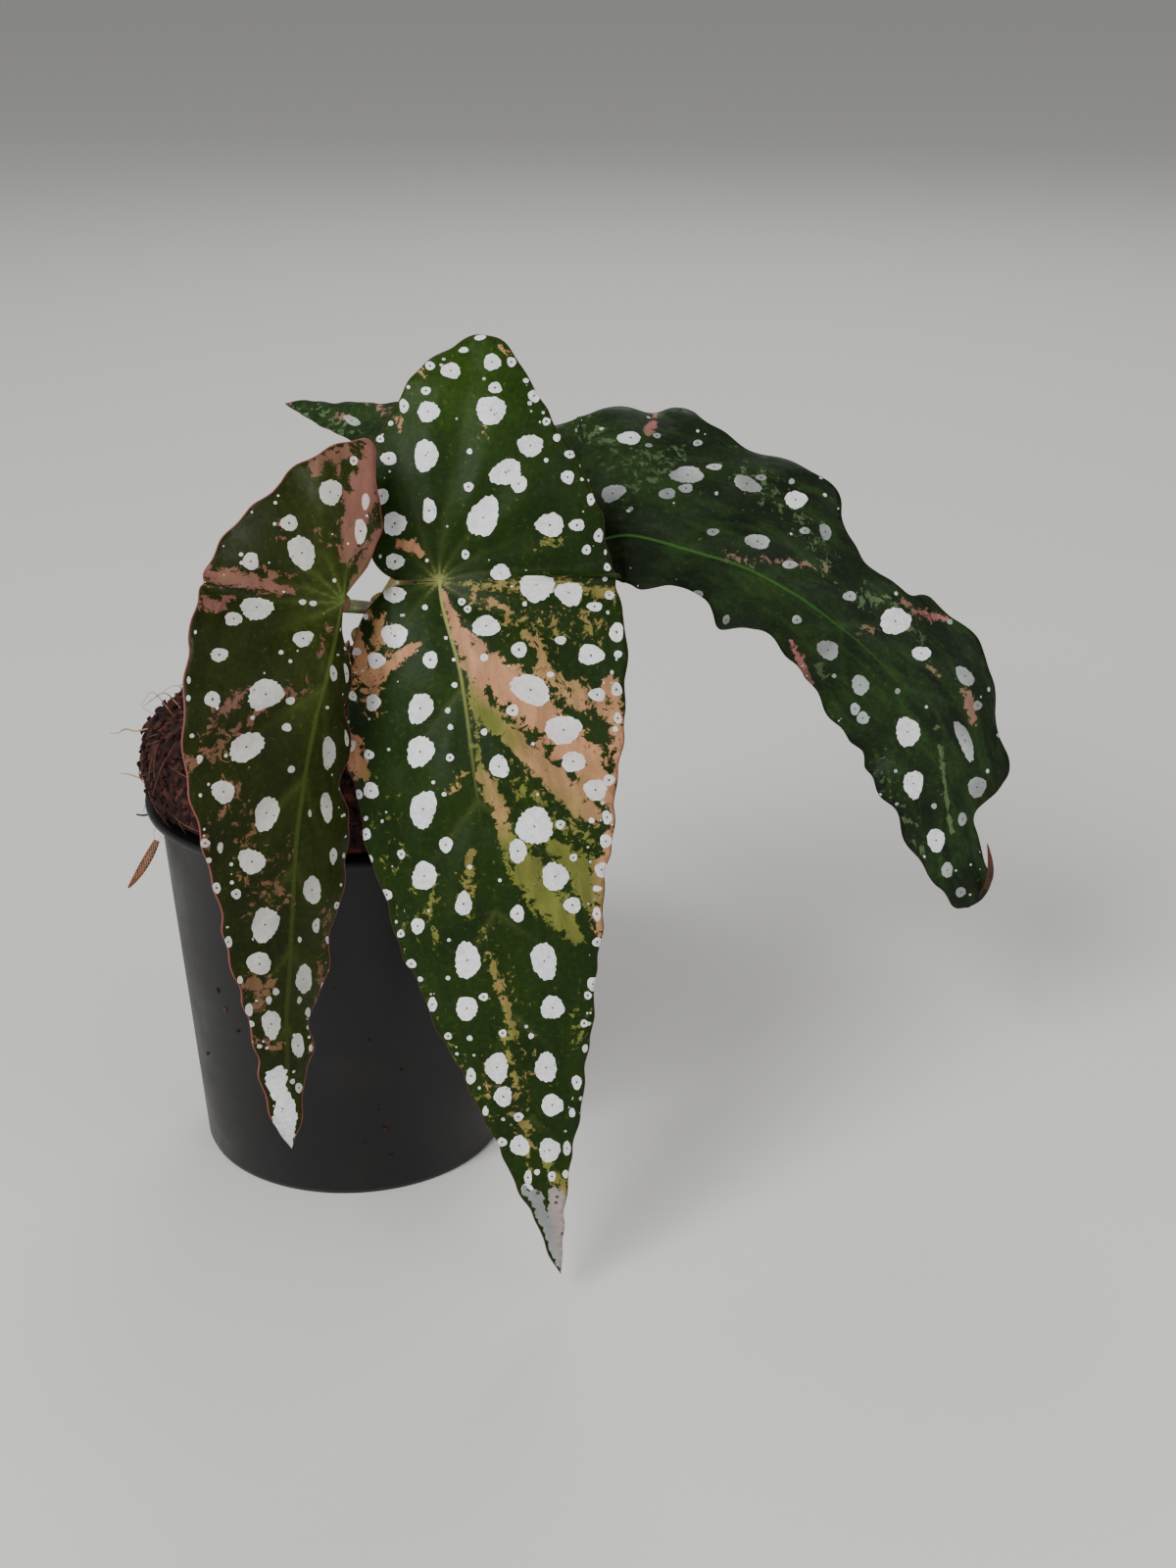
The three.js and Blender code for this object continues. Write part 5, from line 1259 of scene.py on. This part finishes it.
def petal(base, tip, out, width, cup, thickness=0.35, rows=10, columns=8):
    """A thin pointed scale from base to tip, as wide as width and cupped towards out."""
    base, tip, out = (np.array(p, float) for p in (base, tip, out))
    along = tip - base
    side = unit(np.cross(along, out))
    out = unit(np.cross(side, along))
    sheet = []
    for r in range(rows + 1):
        t = r / rows
        half = width / 2 * math.sin(math.pi * (0.18 + 0.82 * t) ** 0.8) ** 0.8 if t < 1 else 0.03
        for c in range(columns + 1):
            across = 2 * c / columns - 1
            bow = cup * (across * across - 1) * half + 0.12 * np.linalg.norm(along) * math.sin(math.pi * t)
            sheet.append(base + along * t + side * across * half + out * bow)
    sheet = np.array(sheet)
    count, wide = len(sheet), columns + 1
    points = np.vstack([sheet, sheet - out * thickness])
    faces = []
    for r in range(rows):
        for c in range(columns):
            a, b = r * wide + c, r * wide + c + 1
            faces += [(a, b, b + wide, a + wide), (a + wide + count, b + wide + count, b + count, a + count)]
    border = ([*range(columns)] + [r * wide + columns for r in range(rows)]
              + [rows * wide + c for c in range(columns, 0, -1)] + [r * wide for r in range(rows, 0, -1)])
    for a, b in zip(border, border[1:] + border[:1]):
        faces.append((b, a, a + count, b + count))
    return points, faces


class BEGONIA_OT_cane(bpy.types.Operator):
    """Make the cane with its swollen nodes, papery sheaths and growing tip"""
    bl_idname = "begonia.cane"
    bl_label = "Cane"

    def execute(self, context):
        tint = context.scene.begonia_colours
        line = cane_line()
        radii = cane_radius(line[:, 2], np.linspace(0, 1, len(line)))
        made = plant_stem("cane_skin", tint.cane, "#6a3a2a", 700)
        cane = mesh_piece("cane", *sweep(line, radii, 28), [made])
        seat(cane, "cane", "cane")
        papers = []
        for k, node in enumerate(CANE_NODES):
            i = int(np.argmin(abs(line[:, 2] - node)))
            along = unit(line[i + 1] - line[i - 1])
            for turn in (0.6 + 2.4 * k, 3.4 + 2.4 * k):
                out = unit(np.cross(along, [math.sin(turn), math.cos(turn), 0.2]))
                start = line[i] + out * (radii[i] - 0.15)
                papers.append(petal(start, start + along * (6 - 0.4 * k) + out * 1.4, out, 4, 0.6))
        made = dry_plant_fibre("papery_sheath", "#75673c", "#453522")
        seat(mesh_piece("cane_sheaths", *join(papers), [made]), "cane")
        tip, along = line[-1], unit(line[-1] - line[-8])
        bud = [petal(line[-9] + np.array([0.9, 0, 0]), tip + along * 5, (1, -0.4, 0), 5, 0.7),
               petal(line[-9] - np.array([0.9, 0, 0]), tip + along * 4, (-1, 0.5, 0), 5, 0.7),
               petal(line[-6], tip + along * 6.5, (0, -1, 0), 3.2, 0.9)]
        made = plant_stem("young_bud", "#6f7a35", "#8c4a3c", 500)
        seat(mesh_piece("growing_tip", *join(bud), [made]), "cane")
        return {"FINISHED"}


class BEGONIA_OT_stalks(bpy.types.Operator):
    """Make the four leaf stalks from the cane's nodes to the blades"""
    bl_idname = "begonia.stalks"
    bl_label = "Leaf stalks"

    def execute(self, context):
        tint = context.scene.begonia_colours
        made = plant_stem("leaf_stalk", tint.stalk, "#6a4a34", 500)
        line = cane_line()
        share = np.linspace(0, 1, len(line))
        for name, shape in LEAVES.items():
            blade = Blade(shape, context.scene.begonia_foliage)
            centre = np.zeros((1, 2))
            lift, thickness = blade.relief(centre, blade.measures(centre))
            point, normal = blade.smooth_surface(centre)
            end = point[0] + normal[0] * (lift[0] - thickness[0] + 0.15)
            bend = np.array(shape["bend"], float)
            i = int(np.argmin(abs(line[:, 2] - shape["node"])))
            along = unit(line[i + 1] - line[i - 1])
            out = bend[0] - line[i]
            out = unit(out - along * (out @ along))
            radius = float(cane_radius(line[i, 2], share[i]))
            start = line[i] + out * (radius - 0.4)
            route = curve_through([start, start + out * 3.2, *bend, end - normal[0] * 4, end], 0.9)
            t = np.linspace(0, 1, len(route))
            girth = 1.55 + 0.75 * bell(t, 0.06) + 0.55 * bell(1 - t, 0.05)
            stalk = mesh_piece(f"petiole_{name}", *sweep(route, girth, 20), [made])
            seat(stalk, "petiole", f"petiole_{name}")
        return {"FINISHED"}


# Fibres and roots that stick out of the mix at the left, as seen: (half width in mm, how far ahead, route).
LOOSE_ROOTS = [
    (0.26, -4, [(162, 744), (150, 744), (138, 746), (128, 744), (120, 748), (112, 748)]),
    (0.24, -6, [(150, 797), (140, 793), (131, 790), (122, 789)]),
    (0.16, -8, [(151, 798), (151, 808), (149, 818), (146, 829)]),
    (0.14, -12, [(174, 824), (166, 821), (158, 823)]),
    (0.16, -3, [(168, 707), (158, 712), (150, 718), (146, 722), (152, 726), (160, 730)]),
    (0.13, -6, [(155, 706), (149, 712), (144, 720)]),
    (0.13, -10, [(182, 700), (172, 702), (163, 709)]),
    (0.12, -15, [(176, 836), (170, 842), (166, 850), (160, 861)]),
    (0.1, -15, [(178, 838), (172, 848), (161, 862)]),
    (0.1, -15, [(174, 834), (164, 838), (158, 846), (157, 852), (160, 862)]),
]
# The twig likewise, and the husk's middle line and the crumbs on the pot's wall as places in the picture.
DARK_TWIG = (0.4, -6, [(166, 829), (152, 831), (146, 832), (139, 831)])
HUSK_ROUTE = [(160, 858), (155, 868), (149, 879), (143, 889), (137, 898), (131, 906)]
POT_CRUMBS = [(230, 1030), (243, 1052), (352, 1100), (387, 1133), (393, 1152), (410, 1092), (377, 1061),
              (222, 1011), (176, 957), (212, 1075), (400, 1180), (340, 1010), (372, 1166)]


def rooted(route):
    """A route that starts above the pot's lip, led out of the nearest part of the heap."""
    if route[0][2] < POT_FORM["height"]:
        return route
    heap = curve_through(MIX_PROFILE, 1)
    around = math.hypot(*route[0][:2])
    radius, height = heap[np.argmin(np.hypot(*(heap - (around, route[0][2])).T))]
    sunk = 1 - 3 / radius
    return [np.array([*route[0][:2] * radius / around * sunk, height - 2]), *route]


class BEGONIA_OT_dry_bits(bpy.types.Operator):
    """Make the pale roots, the dark twig, the dry husk, the crumbs on the pot and the curled dry leaf edge"""
    bl_idname = "begonia.dry_bits"
    bl_label = "Roots, husk and dry bits"

    def execute(self, context):
        straw = dry_plant_fibre("straw_root", "#b58a6c", "#6e4432")
        strands = []
        for half, ahead, route in LOOSE_ROOTS:
            path = curve_through(rooted([seen_at(x, y, ahead) for x, y in route]), 0.6)
            t = np.linspace(0, 1, len(path))
            strands.append(sweep(path, half * (1 - 0.7 * t ** 2), 7))
        seat(mesh_piece("loose_roots", *join(strands), [straw]), "growing_mix")
        half, ahead, route = DARK_TWIG
        path = curve_through([seen_at(x, y, ahead) for x, y in route], 0.6)
        twig = sweep(path, half * np.linspace(1.1, 0.5, len(path)), 8)
        made = dry_plant_fibre("dark_bark", "#2a1a14", "#120b09")
        seat(mesh_piece("dark_twig", *twig, [made]), "growing_mix")
        self.husk()
        self.crumbs(context)
        self.curled_edge()
        return {"FINISHED"}

    def husk(self):
        """The skeleton of an old bract: a flattened, tapering net of veins."""
        path = curve_through([seen_at(x, y, -15) for x, y in HUSK_ROUTE], 0.55)
        along = unit(np.gradient(path, axis=0))
        away = unit(EYE - path.mean(0))
        sides, count = 8, len(path)
        rings = []
        for k in range(count):
            t = k / (count - 1)
            wide = 1.0 * (math.sin(math.pi * (0.16 + 0.84 * t)) ** 0.7 if t < 1 else 0.05) + 0.05
            side = unit(np.cross(along[k], away))
            out = np.cross(side, along[k])
            turns = np.linspace(0, 2 * math.pi, sides, endpoint=False) + (k % 2) * math.pi / sides
            rings.append(path[k] + np.outer(np.cos(turns), side) * wide
                         + np.outer(np.sin(turns), out) * wide * 0.5)
        points = np.vstack(rings)
        edges = []
        for k in range(count - 1):
            for i in range(sides):
                j = (i + 1) % sides if k % 2 else (i - 1) % sides
                edges += [(k * sides + i, (k + 1) * sides + i), (k * sides + i, (k + 1) * sides + j)]
        struts = [sweep([points[a], (points[a] + points[b]) / 2, points[b]], 0.12, 4) for a, b in edges]
        made = dry_plant_fibre("skeleton_husk", "#8f5522", "#4a2610")
        seat(mesh_piece("dry_husk", *join(struts), [made]), "growing_mix")

    def crumbs(self, context):
        """Bits of mix stuck to the pot's wall, each on the cone of the wall."""
        dice, parts = random.Random(5), []
        slope = (POT_FORM["wall_top"] - POT_FORM["base"]) / (POT_FORM["height"] - POT_FORM["lip_height"])
        for x, y in POT_CRUMBS:
            reach = [seen_at(x, y, ahead) for ahead in np.arange(-50, 0, 0.1)]
            hit = next((p for p in reach if math.hypot(*p[:2]) <= POT_FORM["base"] + slope * p[2]), None)
            if hit is None or hit[2] < 2:
                continue
            normal = unit(np.array([hit[0], hit[1], 0]))
            lump, faces = crumb(dice, dice.uniform(0.35, 0.75), 0.6)
            parts.append((onto(lump, hit + normal * 0.1, normal), faces))
        made = coir_and_bark("stuck_crumbs", "#4a2419", "#1c0d0a", "#6b4234")
        seat(mesh_piece("stuck_crumbs", *join(parts), [made]), "growing_mix")

    def curled_edge(self):
        """The brown, dried sliver that stands off the right leaf's edge near its tip."""
        low, high = seen_at(1001, 915, 2), seen_at(1008, 861, -4)
        sliver = petal(low, high, (0.55, -0.8, 0.1), 2.4, 0.75, thickness=0.3, rows=16)
        made = dry_plant_fibre("dried_leaf_edge", "#54291a", "#27120c")
        seat(mesh_piece("dried_leaf_edge", *sliver, [made]), "leaf_right")


# ------------------------------------------------------------------ stage
class BEGONIA_OT_stage(bpy.types.Operator):
    """Make the pale floor, the soft studio light and the camera"""
    bl_idname = "begonia.stage"
    bl_label = "Stage"

    def execute(self, context):
        scene = context.scene
        half = 20000  # far enough for the floor to reach the horizon
        floor = mesh_piece("floor", [(-half, -half, 0), (half, -half, 0), (half, half, 0), (-half, half, 0)],
                           [(0, 1, 2, 3)], [matt_paper("matt_paper", "#d9d8d5")])
        world = bpy.data.worlds.new("studio")
        world.use_nodes = True
        world.node_tree.nodes["Background"].inputs["Color"].default_value = linear("#e6e6e6")
        world.node_tree.nodes["Background"].inputs["Strength"].default_value = 0.42
        scene.world = world
        aim = Vector((0.04, -0.02, 0.12))
        for name, place, size, power in (("key", (-0.75, -1.15, 1.25), 0.9, 33),
                                         ("fill", (1.1, -0.9, 0.8), 1.0, 7),
                                         ("back", (0.2, 1.3, 1.3), 1.0, 9)):
            lamp = bpy.data.lights.new(name, "AREA")
            lamp.shape, lamp.size, lamp.energy = "DISK", size, power
            light = bpy.data.objects.new(name, lamp)
            light.location = place
            light.rotation_euler = (aim - light.location).to_track_quat("-Z", "Y").to_euler()
            scene.collection.objects.link(light)
        lens = bpy.data.cameras.new("view")
        lens.lens, lens.sensor_fit, lens.sensor_height = LENS, "VERTICAL", SENSOR_HEIGHT
        lens.clip_end = 100
        camera = bpy.data.objects.new("view", lens)
        camera.location = EYE * MM
        camera.rotation_euler = (math.pi / 2 - PITCH, 0, 0)
        scene.collection.objects.link(camera)
        scene.camera = camera
        return {"FINISHED"}


class BEGONIA_PT_pieces(bpy.types.Panel):
    """The plant's pieces, in the order they are made"""
    bl_idname = "BEGONIA_PT_pieces"
    bl_label = "Potted Begonia"
    bl_space_type = "VIEW_3D"
    bl_region_type = "UI"
    bl_category = "Begonia"

    def draw(self, context):
        for operator in OPERATORS:
            self.layout.operator(operator.bl_idname)
        for group in (context.scene.begonia_foliage, context.scene.begonia_colours):
            for key in group.bl_rna.properties.keys():
                if key not in {"rna_type", "name"}:
                    self.layout.prop(group, key)


OPERATORS = (BEGONIA_OT_pot, BEGONIA_OT_growing_mix, BEGONIA_OT_cane, BEGONIA_OT_stalks, BEGONIA_OT_leaves,
             BEGONIA_OT_dry_bits, BEGONIA_OT_stage)
CLASSES = (BegoniaFoliage, BegoniaColours, *OPERATORS, BEGONIA_PT_pieces)


def register():
    for kind in CLASSES:
        bpy.utils.register_class(kind)
    bpy.types.Scene.begonia_foliage = PointerProperty(type=BegoniaFoliage)
    bpy.types.Scene.begonia_colours = PointerProperty(type=BegoniaColours)


def unregister():
    del bpy.types.Scene.begonia_colours
    del bpy.types.Scene.begonia_foliage
    for kind in reversed(CLASSES):
        bpy.utils.unregister_class(kind)


def main():
    """Makes every piece, then the stage."""
    register()
    bpy.ops.begonia.pot()
    bpy.ops.begonia.growing_mix()
    bpy.ops.begonia.cane()
    bpy.ops.begonia.stalks()
    bpy.ops.begonia.leaves()
    bpy.ops.begonia.dry_bits()
    bpy.ops.begonia.stage()


if __name__ == "__main__":
    main()
